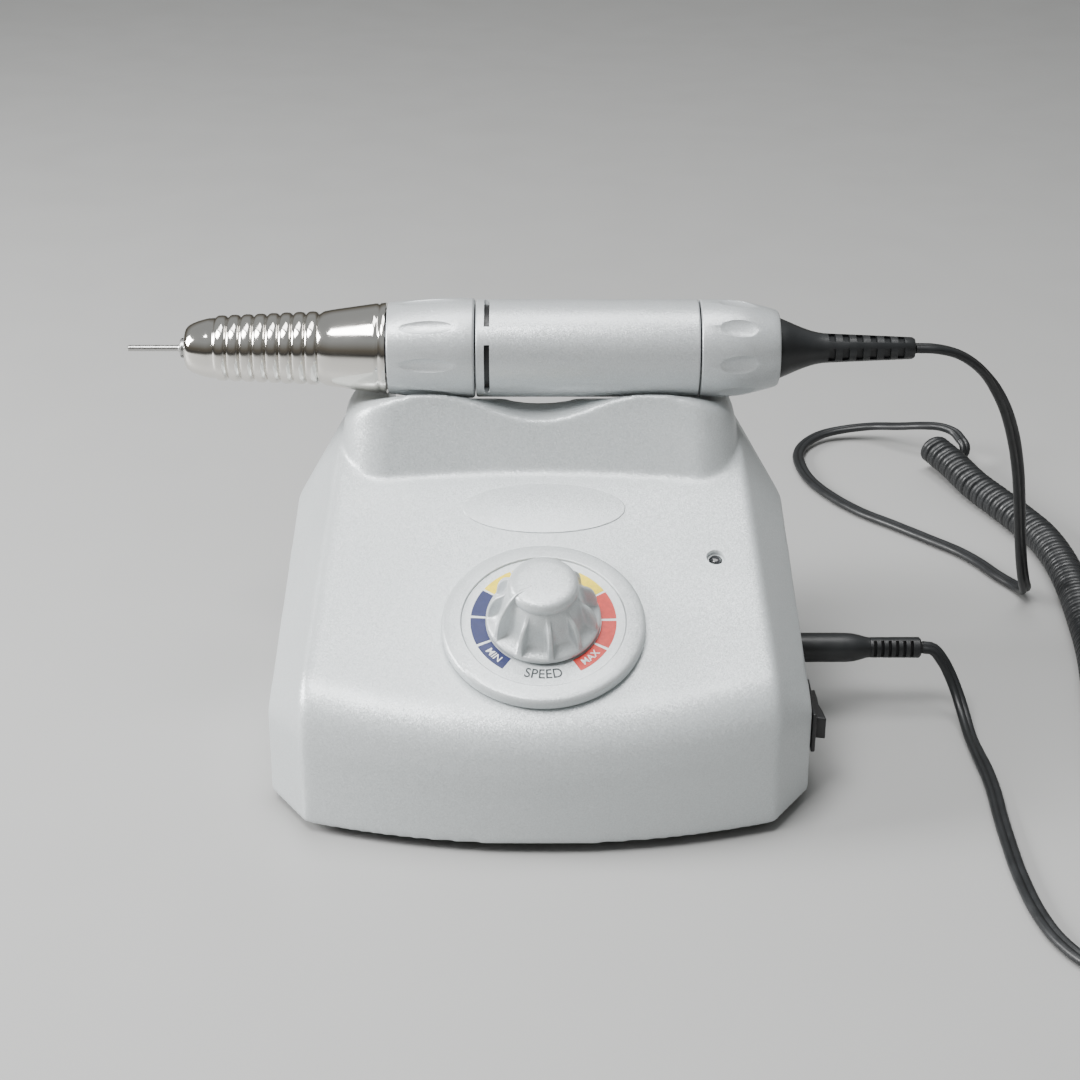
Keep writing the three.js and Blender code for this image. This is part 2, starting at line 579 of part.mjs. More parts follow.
function handpieceParts(group) {
  addPart(group, 'bit_shank', turned('x', [[-114.4, 0], [-114.4, 0.65], [-114.2, 0.85], [-100.5, 0.85],
    [-100, 1.17], [-78, 1.17], [-78, 0]], 16), finishes.steel);
  addPart(group, 'collet', collet(), finishes.steel);
  addPart(group, 'spindle', turned('x', [[-96.8, 2.65], [-96.8, 3.4], [-26, 3.4], [-26, 0.6], [-73.5, 0.6],
    [-73.5, 2.65]], 24), finishes.steel);
  addPart(group, 'front_bearing', ring('x', -89, -85, 5.6, 3.7), finishes.steel);
  addPart(group, 'middle_bearing', ring('x', -48, -44, 5.6, 3.7), finishes.steel);
  addPart(group, 'lock_sleeve', ring('x', -70, -58, 5.5, 3.75, 24), finishes.brass);
  addPart(group, 'collet_spring', colletSpring(), finishes.steel);
  addPart(group, 'spindle_carrier', turned('x', [[-89.4, 5.9], [-89.4, 7], [-41, 7], [-41, 10.9], [-36, 10.9],
    [-36, 5.9]]), finishes.aluminium);
  addPart(group, 'twist_collar', twistCollar(), finishes.chrome);
  addPart(group, 'front_housing', frontHousing(), finishes.satinGrey);
  addPart(group, 'drive_coupling', turned('x', [[-31, 3.7], [-31, 4.8], [-18.5, 4.8], [-18.5, 1.85],
    [-25.5, 1.85], [-25.5, 3.7]], 24), finishes.brass);
  addPart(group, 'cooling_fan', coolingFan(), finishes.blackPlastic);
  addPart(group, 'barrel', barrel(), finishes.satinGrey);
  addPart(group, 'motor_can', turned('x', [[-7, 2.5], [-7, 11.6], [33, 11.6], [33, 10.6], [-5.8, 10.6],
    [-5.8, 2.5]]), finishes.aluminium);
  addPart(group, 'magnet_upper', arcBar(-4.5, 29, 8.6, 10.2, 30, 150), finishes.magnet);
  addPart(group, 'magnet_lower', arcBar(-4.5, 29, 8.6, 10.2, 210, 330), finishes.magnet);
  addPart(group, 'armature', armature(), finishes.iron);
  addPart(group, 'commutator', ring('x', 27, 33, 3.4, 1.85, 20), finishes.copper);
  addPart(group, 'brush_upper', block([28.2, -1.6, 3.75], [32.2, 1.6, 8]), finishes.carbon);
  addPart(group, 'brush_lower', block([28.2, -1.6, -8], [32.2, 1.6, -3.75]), finishes.carbon);
  addPart(group, 'motor_end_bell', ring('x', 33.4, 37, 11.6, 2.2), finishes.blackPlastic);
  addPart(group, 'rear_bearing', ring('x', 37.4, 40.6, 4.6, 1.85, 24), finishes.steel);
  addPart(group, 'rear_cap', rearCap(), finishes.satinGrey);
  addPart(group, 'strain_relief', strainRelief(), finishes.rubber);
}

// ---------- cord: handpiece lead, coil, plug lead and plug ----------
// The handpiece lead hangs from the strain relief to just above the table.
const hangingLead = [
  [104.2, 0, 98], [110, 0.5, 97.6], [116.5, 2, 95.5], [122.5, 4, 91.3], [127.9, 7, 85], [133, 10, 76.5],
  [137.2, 13.5, 66], [140.6, 17.5, 54], [143.2, 21.5, 41.5], [145.4, 25.2, 29], [147.8, 29, 17],
];
// From there it lies on the table, runs round in a wide loop and rises over the end of the coil.
const loopLead = [
  [147.9, 29.2, 16.6], [149.9, 32, 9], [151.6, 36, 3.6], [150.6, 41.5, 1.8], [146.1, 49.7, 1.8],
  [141.9, 58.7, 1.8],
  [136.8, 67, 1.8], [128.5, 76.3, 1.8], [118.8, 86.9, 1.8], [108.7, 97.5, 1.8], [100.2, 110.6, 1.8],
  [94.7, 124, 1.8], [92.8, 136, 1.8], [93.1, 146.2, 1.8], [96.5, 154.9, 2.2], [103.2, 161.5, 3],
  [111.7, 163.5, 4.2], [121.6, 161.6, 6.2], [130.2, 155, 9], [138, 149.4, 11.6], [143.6, 146.8, 12.2],
  [148, 144, 11.4], [150, 139.6, 10],
];
// Axis of the tight coil, one slow bend forward along the right of the box.
const coilAxis = [
  [139.8, 136.5, 7.6], [144.5, 125.4, 6.6], [149.6, 110.1, 5.4], [155, 97, 5], [160, 83.1, 5], [164, 70, 5],
  [165.9, 55, 5], [166.2, 38, 5], [165, 16, 5], [163, -6, 5], [159.6, -28, 5], [156, -50, 5], [153.2, -70, 5],
];
// Plug lead: out of the plug, down to the table, forward along the box and round to the coil's end.
const droppingLead = [
  [107.5, -29.5, 19.5], [110.6, -29.6, 19], [113.6, -30.6, 15.6], [116, -32.4, 11.2], [117.8, -35.8, 6.8],
  [118.7, -40, 3.9],
];
const tableLead = [
  [118.8, -40.6, 3.6], [119.2, -48, 1.8], [119.6, -57, 1.8], [120.2, -66, 1.8], [120.3, -76, 1.8],
  [119.7, -88, 1.8], [119.4, -100, 1.8], [119.4, -114, 1.8], [120.7, -130, 1.8], [123.6, -141.5, 1.8],
  [129, -150.5, 1.8], [137, -155, 1.8], [145.5, -153, 1.8], [150.8, -146, 1.8], [152.6, -136, 1.8],
  [152.8, -122, 1.8], [152.6, -108, 1.8], [152.4, -94, 1.8], [152.3, -82, 2.6], [152.4, -75.5, 4.2],
  [152.7, -70.9, 5],
];

const bootSlots = { first: 93.6, pitch: 2.05, width: 0.9, count: 6, turn: -16 };

function plugBoot() {
  const sleeve = turned('x', [[92.9, 0], [92.9, 2.9], [106.6, 2.9], [107, 2.5], [107, 0]], 20);
  const slots = [];
  for (let k = 0; k < bootSlots.count; k += 1) {
    const x = bootSlots.first + bootSlots.pitch * k;
    for (const side of [0, 180]) {
      const slot = block([x, 1.2, -2.3], [x + bootSlots.width, 4, 2.3]);
      slots.push(slot.rotate([side + bootSlots.turn, 0, 0]));
    }
  }
  return without(sleeve, ...slots);
}

function cordParts(group) {
  addPart(group, 'handpiece_lead_hanging', tubeAlong(hangingLead, cord.radius, 8, 24), finishes.rubber);
  addPart(group, 'handpiece_lead_loop', tubeAlong(loopLead, cord.radius, 8, 44), finishes.rubber);
  addPart(group, 'coiled_cord', tubeAlong(coilAxis, cord.coilRadius, 10, 28), finishes.rubber);
  addPart(group, 'plug_lead_dropping', tubeAlong(droppingLead, cord.radius, 8, 10), finishes.rubber);
  addPart(group, 'plug_lead_table', tubeAlong(tableLead, cord.radius, 8, 34), finishes.rubber);
  const grip = turned('x', [[69.9, 0], [69.9, 3.8], [70.3, 4.15], [87, 4.15], [89.5, 3.7], [91.2, 3.05],
    [92.6, 2.85], [92.6, 0]], 24);
  addPart(group, 'plug_grip', grip.translate(0, jack.y, jack.z), finishes.rubber);
  addPart(group, 'plug_boot', plugBoot().translate(0, jack.y, jack.z), finishes.rubber);
  const pin = turned('x', [[55.4, 0], [55.8, 0.9], [57.2, 1.75], [58, 1.2], [58.8, 1.75],
    [69.6, 1.75], [69.6, 0]], 16);
  addPart(group, 'plug_pin', pin.translate(0, jack.y, jack.z), finishes.steel);
}

// ---------- assembly ----------
const nailDrill = new THREE.Group();
const controlGroup = new THREE.Group();
controlGroup.position.set(boxMiddleX, handpieceY, 0);
const handpieceGroup = new THREE.Group();
handpieceGroup.position.set(boxMiddleX, handpieceY, axisHeight);
controlBox(controlGroup);
cordParts(controlGroup);
handpieceParts(handpieceGroup);
nailDrill.add(controlGroup, handpieceGroup);

export default nailDrill;
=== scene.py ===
"""Looks of the electric nail drill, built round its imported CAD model.

Shapes are given in millimetres along the design axes: X from the middle of the box, Y from the
axis of the handpiece, Z up from the table. The frame, the cord routes and Blender are in metres.
"""
import json
import math

import bmesh
import bpy
import numpy as np
from mathutils import Matrix, Vector


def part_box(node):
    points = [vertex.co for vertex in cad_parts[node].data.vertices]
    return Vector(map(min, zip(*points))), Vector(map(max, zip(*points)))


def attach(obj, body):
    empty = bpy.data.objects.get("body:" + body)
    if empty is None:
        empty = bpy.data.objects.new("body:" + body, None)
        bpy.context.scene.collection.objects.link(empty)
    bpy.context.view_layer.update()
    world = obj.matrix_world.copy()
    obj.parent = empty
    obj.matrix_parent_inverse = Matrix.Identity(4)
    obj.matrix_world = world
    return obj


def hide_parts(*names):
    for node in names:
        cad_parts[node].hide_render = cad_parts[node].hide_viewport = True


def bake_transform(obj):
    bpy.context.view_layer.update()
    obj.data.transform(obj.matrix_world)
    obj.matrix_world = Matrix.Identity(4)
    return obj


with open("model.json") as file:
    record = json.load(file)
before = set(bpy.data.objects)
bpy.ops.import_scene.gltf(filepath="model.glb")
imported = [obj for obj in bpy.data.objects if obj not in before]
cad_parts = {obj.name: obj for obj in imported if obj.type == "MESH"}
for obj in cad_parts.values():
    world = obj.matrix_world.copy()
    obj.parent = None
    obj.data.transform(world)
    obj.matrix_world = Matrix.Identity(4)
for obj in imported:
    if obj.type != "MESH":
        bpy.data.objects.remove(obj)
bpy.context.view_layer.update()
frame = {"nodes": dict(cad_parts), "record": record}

MM = 0.001
housing_low, housing_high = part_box("upper_housing")
barrel_low, barrel_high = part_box("barrel")
ORIGIN = Vector(((housing_low.x + housing_high.x) / 2, (barrel_low.y + barrel_high.y) / 2, 0))
AXIS_HEIGHT = (barrel_low.z + barrel_high.z) / 2 / MM

# ---------- driving dimensions, mm ----------
SLOPE = math.radians(22.2)
SHOULDER_Y, SHOULDER_Z = -19.2, 68.0
BOX_BOTTOM, BOX_TOP, BOX_FRONT, BOX_REAR, BOX_BOW, BOX_WALL = 3.0, 75.5, -103.3, 15.0, 10.2, 2.5
ROLL_RADIUS, REAR_RADIUS, CHAMFER = 18.0, 8.0, 15.5
# Half widths of the sloping top and of the side walls at one place along Y, and their loss per mm behind it.
CREASE_HALF, CREASE_FROM, CREASE_TAPER = 60.5, -93, 0.052
SIDE_HALF, SIDE_FROM, SIDE_TAPER = 70.9, -80, 0.034
# How far the rear and the crease move in, and the chamfer grows, for each mm that the box is drawn in.
REAR_TAPER, CREASE_SHRINK, CHAMFER_GROWTH = 1.27, 0.52, 0.315
CRADLE_HALF, CRADLE_TAPER, FRONT_CORNER, REAR_CORNER = 55.0, 0.03, 12, 9
FRONT_LEAN, FRONT_STEP, FRONT_BOW, FRONT_BOW_REACH = 0.38, 0.7, 2.2, 45
CROWN_FOOT, CROWN_RISE, CROWN_REACH, CROWN_POWER = 70, 19.2, 57.5, 6
SCALLOP_FLOOR, SCALLOP_SWING, SCALLOP_HALF = 82, 3.4, 29.4
SEAT_RADIUS = 14.3
DIAL_X, DIAL_Y, DIAL_THICKNESS, LABEL_TOP = 0.9, -70.0, 3.6, 3.3
KNOB_BASE = DIAL_THICKNESS + 0.4
KNOB_FINS, POINTER_ANGLE = 11, 212
LED_X, LED_Y = 46.8, -47.1
BADGE_X, BADGE_Y, BADGE_HALF = 1.1, -30.8, (22.0, 9.0)
JACK_Y, JACK_Z = -29.5, 19.5
ROCKER_Y, ROCKER_Z, ROCKER_PIVOT_X, ROCKER_TILT = -66.6, 19.5, 67.7, math.radians(5)
INLET_X, INLET_Z, INLET_HALF, INLET_PIN_X = -8.0, 24.0, (10.2, 5.2), 4.3
FOOT_PLACES = [(-50, -74), (50, -74), (-50, 4), (50, 4)]
# X, Y and the height that the screw's boss reaches.
SCREW_PLACES = [(-34, -84, 40), (34, -84, 40), (-34, 6, 75.4), (34, 6, 75.4)]
THREAD_PITCH = 0.75
HOUSING_VOXEL = 0.75
CORD_WIDTH, CORD_THICKNESS = 4.1, 2.35
COIL_RADIUS, COIL_PITCH, COIL_STEPS = 4.2, 4.2, 20
# Radius of the curl's last point, and how much each point before it adds, up to the curl's own radius.
LAST_RADIUS, LAST_GROWTH = 0.8, 0.28
LEAD_SPACING = 1.2


def slope_height(y):
    return SHOULDER_Z + math.tan(SLOPE) * (y - SHOULDER_Y)


def moved(x, y, z):
    return Matrix.Translation((x, y, z))


def on_slope(x, y):
    """Place of a piece drawn about the Z axis, stood square on the sloping top."""
    return moved(x, y, slope_height(y)) @ Matrix.Rotation(SLOPE, 4, "X")


ON_DIAL = on_slope(DIAL_X, DIAL_Y)
ON_AXIS = moved(0, 0, AXIS_HEIGHT)
AT_JACK = moved(0, JACK_Y, JACK_Z)


# ---------- camera, at the photograph's angle ----------
CAMERA_PLACE, CAMERA_DOWN = (0, -547.4, 305.7), 26


def add_camera():
    camera = bpy.data.objects.new("camera", bpy.data.cameras.new("camera"))
    camera.data.lens = 70
    camera.data.sensor_width = 36
    camera.data.clip_start = 0.01
    camera.location = ORIGIN + MM * Vector(CAMERA_PLACE)
    camera.rotation_euler = (math.radians(90 - CAMERA_DOWN), 0, 0)
    bpy.context.scene.collection.objects.link(camera)
    bpy.context.scene.camera = camera


add_camera()


# ---------- materials ----------
def shade(color, share):
    return tuple(share * c for c in color)


class Shading:
    """A node material under construction, with its pattern taken from object coordinates."""

    def __init__(self, name, color, roughness, metallic=0.0):
        self.color = color
        self.material = bpy.data.materials.new(name)
        self.material.use_nodes = True
        self.material.diffuse_color = (*color, 1)
        self.nodes = self.material.node_tree.nodes
        self.links = self.material.node_tree.links
        self.shader = self.nodes["Principled BSDF"]
        self.set("Base Color", (*color, 1))
        self.set("Roughness", roughness)
        self.set("Metallic", metallic)
        self.place = self.nodes.new("ShaderNodeTexCoord").outputs["Object"]
        self.normal = None

    def set(self, socket, value):
        self.shader.inputs[socket].default_value = value

    def add(self, kind, settings=None, **values):
        node = self.nodes.new(kind)
        for key, value in (settings or {}).items():
            setattr(node, key, value)
        for key, value in values.items():
            socket = node.inputs[key.replace("_", " ")]
            if isinstance(value, bpy.types.NodeSocket):
                self.links.new(value, socket)
            else:
                socket.default_value = value
        return node

    def noise(self, scale, detail=3.0, vector=None):
        node = self.add("ShaderNodeTexNoise", Vector=vector or self.place, Scale=scale, Detail=detail)
        return node.outputs["Fac"]

    def tint(self, factor, low, high, start=0.3, end=0.7):
        """The base colour, varied between two colours over a stretch of the factor."""
        node = self.add("ShaderNodeValToRGB", Fac=factor)
        for element, position, color in zip(node.color_ramp.elements, (start, end), (low, high)):
            element.position = position
            element.color = (*color, 1)
        self.links.new(node.outputs["Color"], self.shader.inputs["Base Color"])

    def mottle(self, factor, low, high, start=0.3, end=0.7):
        """The base colour, varied between two shares of itself."""
        self.tint(factor, shade(self.color, low), shade(self.color, high), start, end)

    def roughen(self, factor, low, high, start=0.3, end=0.7):
        """The roughness, varied between two values over a stretch of the factor."""
        limits = {"From_Min": start, "From_Max": end, "To_Min": low, "To_Max": high}
        node = self.add("ShaderNodeMapRange", Value=factor, **limits)
        self.links.new(node.outputs["Result"], self.shader.inputs["Roughness"])

    def bump(self, height, distance, strength=1.0):
        node = self.add("ShaderNodeBump", Height=height, Distance=distance, Strength=strength)
        if self.normal:
            self.links.new(self.normal, node.inputs["Normal"])
        self.normal = node.outputs["Normal"]
        self.links.new(self.normal, self.shader.inputs["Normal"])

    def flakes(self, scale, tilt):
        """Tiny flat grains, each tipped its own way, that glint one by one."""
        grains = self.add("ShaderNodeTexVoronoi", Vector=self.place, Scale=scale)
        centred = self.add("ShaderNodeVectorMath", {"operation": "SUBTRACT"})
        self.links.new(grains.outputs["Color"], centred.inputs[0])
        centred.inputs[1].default_value = (0.5, 0.5, 0.5)
        tipped = self.add("ShaderNodeVectorMath", {"operation": "SCALE"})
        self.links.new(centred.outputs["Vector"], tipped.inputs[0])
        tipped.inputs["Scale"].default_value = tilt
        total = self.add("ShaderNodeVectorMath", {"operation": "ADD"})
        self.links.new(tipped.outputs["Vector"], total.inputs[0])
        self.links.new(self.add("ShaderNodeNewGeometry").outputs["Normal"], total.inputs[1])
        unit = self.add("ShaderNodeVectorMath", {"operation": "NORMALIZE"})
        self.links.new(total.outputs["Vector"], unit.inputs[0])
        self.normal = unit.outputs["Vector"]
        self.links.new(self.normal, self.shader.inputs["Normal"])


def pearl_plastic(name, brightness=1.0):
    look = Shading(name, shade((0.57, 0.602, 0.61), brightness), 0.4, 0.3)
    look.mottle(look.noise(2600, 2), 0.95, 1.05, 0.35, 0.65)
    look.roughen(look.noise(45, 4), 0.33, 0.42)
    look.set("Coat Weight", 0.12)
    look.set("Coat Roughness", 0.3)
    look.flakes(3600, 0.16)
    look.bump(look.noise(1500, 2), 0.00002, 0.25)
    return look.material


def satin_metallic(name):
    look = Shading(name, (0.54, 0.565, 0.575), 0.36, 0.45)
    look.mottle(look.noise(3200, 2), 0.93, 1.07, 0.35, 0.65)
    look.roughen(look.noise(60, 4), 0.32, 0.4)
    look.flakes(4600, 0.14)
    look.bump(look.noise(2200, 2), 0.000015, 0.25)
    return look.material


def polished_chrome(name):
    look = Shading(name, (0.70, 0.68, 0.64), 0.08, 1.0)
    look.roughen(look.noise(90, 6), 0.05, 0.13)
    look.bump(look.noise(700, 5), 0.000004, 0.3)
    return look.material


def turned_metal(name, color, roughness):
    """Bare metal with the fine lines that a lathe leaves round the handpiece's axis."""
    look = Shading(name, color, roughness, 1.0)
    rings = look.add("ShaderNodeMapping", Vector=look.place, Scale=(6, 0.05, 0.05))
    lines = look.noise(900, 3, rings.outputs["Vector"])
    look.roughen(lines, roughness - 0.07, roughness + 0.09)
    look.mottle(look.noise(160, 5), 0.88, 1)
    look.bump(lines, 0.00001, 0.4)
    return look.material


def grained_plastic(name, color, roughness, grain=2400):
    look = Shading(name, color, roughness)
    look.mottle(look.noise(35, 4), 0.8, 1.2)
    look.roughen(look.noise(grain / 2, 3), roughness - 0.08, roughness + 0.08)
    look.bump(look.noise(grain, 3), 0.00003, 0.4)
    return look.material


def soft_rubber(name, color, roughness):
    look = Shading(name, color, roughness)
    look.mottle(look.noise(120, 5), 0.75, 1.3)
    look.roughen(look.noise(300, 4), roughness - 0.1, roughness + 0.08)
    look.bump(look.noise(1700, 3), 0.00003, 0.35)
    return look.material


def printed(name, color):
    """Screen print: slightly uneven ink on satin plastic."""
    look = Shading(name, color, 0.45)
    look.mottle(look.noise(900, 4), 0.86, 1.08)
    look.roughen(look.noise(1500, 3), 0.38, 0.5)
    look.bump(look.noise(3000, 2), 0.00001, 0.3)
    return look.material


def dark_lens(name):
    look = Shading(name, (0.018, 0.02, 0.022), 0.12)
    look.tint(look.noise(500, 2), (0.012, 0.013, 0.014), (0.03, 0.032, 0.036))
    look.roughen(look.noise(800, 3), 0.08, 0.18)
    look.set("Coat Weight", 0.5)
    return look.material


# Metres between the lines of a wave texture at a scale of 1.
WAVE_SPACING = 0.314


def layered(name, color, metallic, spacing, axis, roughness=0.45):
    """Closely laid wires or sheets, one line to each."""
    look = Shading(name, color, roughness, metallic)
    wave = look.add("ShaderNodeTexWave", {"bands_direction": axis}, Vector=look.place, Distortion=0.4,
                    Scale=WAVE_SPACING / (spacing * MM))
    look.mottle(wave.outputs["Fac"], 0.45, 1, 0.1, 0.6)
    look.bump(wave.outputs["Fac"], 0.0002, 0.8)
    return look.material


def circuit_board(name):
    look = Shading(name, (0.02, 0.16, 0.06), 0.4)
    pads = {"Color1": (0.015, 0.13, 0.05, 1), "Color2": (0.02, 0.19, 0.075, 1)}
    cells = look.add("ShaderNodeTexBrick", Vector=look.place, Scale=180.0, Mortar_Size=0.03,
                     Mortar=(0.05, 0.30, 0.13, 1), **pads)
    look.links.new(cells.outputs["Color"], look.shader.inputs["Base Color"])
    look.bump(cells.outputs["Fac"], 0.00003, 0.6)
    return look.material


FINISH = {
    "pearl_housing": pearl_plastic("pearl_housing"),
    "dial_plate": pearl_plastic("dial_plate", 1.02),
    "dial_label": pearl_plastic("dial_label", 1.04),
    "knob": pearl_plastic("knob", 0.98),
    "handpiece_grey": satin_metallic("handpiece_grey"),
    "chrome": polished_chrome("chrome"),
    "steel": turned_metal("steel", (0.42, 0.42, 0.41), 0.3),
    "aluminium": turned_metal("aluminium", (0.62, 0.63, 0.64), 0.38),
    "black_plastic": grained_plastic("black_plastic", (0.012, 0.012, 0.013), 0.4),
    "cord_rubber": soft_rubber("cord_rubber", (0.011, 0.012, 0.013), 0.42),
    "foot_rubber": soft_rubber("foot_rubber", (0.014, 0.014, 0.014), 0.7),
    "led": dark_lens("led"),
    "copper": layered("copper", (0.60, 0.24, 0.10), 1.0, 0.35, "Z", 0.3),
    "iron": layered("iron", (0.20, 0.20, 0.21), 0.8, 0.5, "X"),
    "magnet": grained_plastic("magnet", (0.05, 0.05, 0.055), 0.6, 1500),
    "board": circuit_board("board"),
    "carbon": grained_plastic("carbon", (0.02, 0.02, 0.021), 0.7, 1800),
    "brass": turned_metal("brass", (0.60, 0.44, 0.18), 0.28),
}
BLUE_INK = printed("blue_ink", (0.006, 0.013, 0.085))
RED_INK = printed("red_ink", (0.62, 0.032, 0.02))
YELLOW_INK = printed("yellow_ink", (0.92, 0.70, 0.004))
WHITE_INK = printed("white_ink", (0.82, 0.83, 0.83))
DARK_INK = printed("dark_ink", (0.03, 0.036, 0.04))


def finish_cad_nodes():
    """Gives every carried-over CAD node the finish of its slot."""
    for part in frame["record"]["subparts"]:
        mesh = frame["nodes"][part["node"]].data
        mesh.materials.clear()
        mesh.materials.append(FINISH[part["material_slot"]])


finish_cad_nodes()


# ---------- mesh helpers ----------
WELD_DISTANCE = 2e-6
SMOOTH_TURN = math.radians(12)


def mesh_object(name, points, faces, finish, place=None, sharp=32):
    """A closed mesh from points in millimetres, smooth but for edges sharper than an angle."""
    matrix = Matrix.Translation(ORIGIN) @ Matrix.Scale(MM, 4) @ (place or Matrix.Identity(4))
    spread = np.asarray(points, float) @ np.array(matrix.to_3x3()).T + np.array(matrix.translation)
    mesh = bpy.data.meshes.new(name)
    mesh.from_pydata(spread.tolist(), [], faces)
    work = bmesh.new()
    work.from_mesh(mesh)
    bmesh.ops.remove_doubles(work, verts=work.verts, dist=WELD_DISTANCE)
    bmesh.ops.recalc_face_normals(work, faces=work.faces)
    work.to_mesh(mesh)
    work.free()
    obj = bpy.data.objects.new(name, mesh)
    bpy.context.scene.collection.objects.link(obj)
    return dressed(obj, finish, sharp)


def dressed(obj, finish, sharp=32):
    material = FINISH[finish] if isinstance(finish, str) else finish
    obj.data.materials.clear()
    obj.data.materials.append(material)
    obj.data.polygons.foreach_set("material_index", [0] * len(obj.data.polygons))
    obj.data.polygons.foreach_set("use_smooth", [True] * len(obj.data.polygons))
    obj.data.set_sharp_from_angle(angle=math.radians(sharp))
    return obj


def eased(outline, radius, steps=4, closed=True):
    """The outline with each real corner turned into a short curve that starts a radius away."""
    result = []
    count = len(outline)
    for k, point in enumerate(outline):
        here = Vector(point)
        before = Vector(outline[k - 1])
        after = Vector(outline[(k + 1) % count])
        ends = not closed and k in (0, count - 1)
        into, out = here - before, after - here
        if ends or min(into.length, out.length) < 1e-6 or into.angle(out) < SMOOTH_TURN:
            result.append(tuple(here))
            continue
        start = here - into.normalized() * min(radius, 0.4 * into.length)
        end = here + out.normalized() * min(radius, 0.4 * out.length)
        for step in range(steps + 1):
            t = step / steps
            result.append(tuple((1 - t) ** 2 * start + 2 * t * (1 - t) * here + t * t * end))
    return result


def wound_faces(columns, count, spans):
    """Faces between columns of points that stand side by side all the way round an axis."""
    return [
        (a * count + k, a * count + (k + 1) % count, b * count + (k + 1) % count, b * count + k)
        for a in range(columns)
        for b in [(a + 1) % columns]
        for k in spans
    ]


def turned(name, axis, outline, finish, place=None, steps=96, ease=0.0, sharp=32):
    """A piece turned on a lathe. The outline is (place along the axis, radius) and closes on itself."""
    open_ends = outline[0][1] == 0
    if ease:
        outline = eased(outline, ease, closed=not open_ends)
    points = []
    for step in range(steps):
        angle = 2 * math.pi * step / steps
        across, up = math.cos(angle), math.sin(angle)
        for s, r in outline:
            points.append((s, r * across, r * up) if axis == "x" else (r * across, r * up, s))
    count = len(outline)
    spans = range(count - 1 if open_ends else count)
    return mesh_object(name, points, wound_faces(steps, count, spans), finish, place, sharp)


def lofted(name, rings, finish, place=None, sharp=32):
    """A closed skin over rings of equal length, capped at both ends."""
    count = len(rings[0])
    points = [point for ring in rings for point in ring]
    faces = [
        (r * count + k, r * count + (k + 1) % count, (r + 1) * count + (k + 1) % count, (r + 1) * count + k)
        for r in range(len(rings) - 1)
        for k in range(count)
    ]
    faces.append(tuple(range(count)))
    faces.append(tuple(range((len(rings) - 1) * count, len(rings) * count)))
    return mesh_object(name, points, faces, finish, place, sharp)


def prism(name, axis, outline, low, high, finish="black_plastic", place=None):
    """A flat outline extruded along an axis, between two places on it."""
    def spot(a, b, s):
        return {"x": (s, a, b), "y": (a, s, b), "z": (a, b, s)}[axis]
    rings = [[spot(a, b, s) for a, b in outline] for s in (low, high)]
    return lofted(name, rings, finish, place)


def block(low, high, place=None):
    outline = [(low[0], low[1]), (high[0], low[1]), (high[0], high[1]), (low[0], high[1])]
    return prism("block", "z", outline, low[2], high[2], place=place)


def rod(axis, low, high, radius, place=None, steps=48):
    return turned("rod", axis, [(low, 0), (low, radius), (high, radius), (high, 0)], "steel", place, steps)


def arc(centre, radius, start, end, steps):
    return [
        (centre[0] + radius * math.cos(angle), centre[1] + radius * math.sin(angle))
        for angle in np.linspace(start, end, steps + 1)
    ]


def ring_sector(inner, outer, start, end, steps):
    """Outline of a stretch of a flat ring, between two angles in degrees."""
    angles = np.radians((start, end))
    return [*arc((0, 0), outer, *angles, steps), *arc((0, 0), inner, *angles[::-1], steps)]


def shaped(obj, operation, others):
    """Joins the others to a mesh, or cuts them out of it, and removes them."""
    for other in others:
        modifier = obj.modifiers.new(operation, "BOOLEAN")
        modifier.operation = operation
        modifier.solver = "MANIFOLD"
        modifier.object = other
    applied(obj)
    for other in others:
        bpy.data.objects.remove(other)
    return obj


def applied(obj):
    """Makes the modifiers' result the object's own mesh."""
    bpy.context.view_layer.update()
    result = bpy.data.meshes.new_from_object(obj.evaluated_get(bpy.context.evaluated_depsgraph_get()))
    obj.modifiers.clear()
    obj.data = result
    return obj


def cut(obj, *others):
    return shaped(obj, "DIFFERENCE", others)


def united(obj, *others):
    return shaped(obj, "UNION", others)


def rides(obj, body, slot, *nodes):
    """Puts a finished piece on its body, in place of its CAD nodes. The slot is not used."""
    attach(obj, body)
    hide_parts(*nodes)
    return obj


def redressed(obj, body, slot, *nodes, sharp=32):
    """Gives a piece one finish again after it was cut or joined, and puts it on its body."""
    return rides(dressed(obj, slot, sharp), body, slot, *nodes)


# ---------- cords: routes in metres along the design axes ----------
HANGING_LEAD = [
    (0.1042, 0, 0.098), (0.11, 0.0005, 0.0976), (0.1165, 0.002, 0.0955), (0.1225, 0.004, 0.0913),
    (0.1279, 0.007, 0.085), (0.133, 0.01, 0.0765), (0.1372, 0.0135, 0.066), (0.1406, 0.0175, 0.054),
    (0.1432, 0.0215, 0.0415), (0.1454, 0.0252, 0.029), (0.1478, 0.029, 0.017),
]
LOOP_LEAD = [
    (0.1479, 0.0292, 0.0166), (0.1499, 0.032, 0.009), (0.1516, 0.036, 0.004),
    (0.1506, 0.0415, 0.0021), (0.1461, 0.0497, 0.0018), (0.1419, 0.0587, 0.0018),
    (0.1368, 0.067, 0.0018), (0.1285, 0.0763, 0.0018), (0.1188, 0.0869, 0.0018),
    (0.1087, 0.0975, 0.0018), (0.1002, 0.1106, 0.0018), (0.0947, 0.124, 0.0018),
    (0.0928, 0.136, 0.0018), (0.0931, 0.1462, 0.0018), (0.0965, 0.1549, 0.0022),
    (0.1032, 0.1615, 0.003), (0.1117, 0.1635, 0.0042), (0.1216, 0.1616, 0.0062),
    (0.1302, 0.155, 0.009), (0.138, 0.1494, 0.0116), (0.1436, 0.1468, 0.0122), (0.148, 0.144, 0.0114),
    (0.15, 0.1396, 0.01),
]
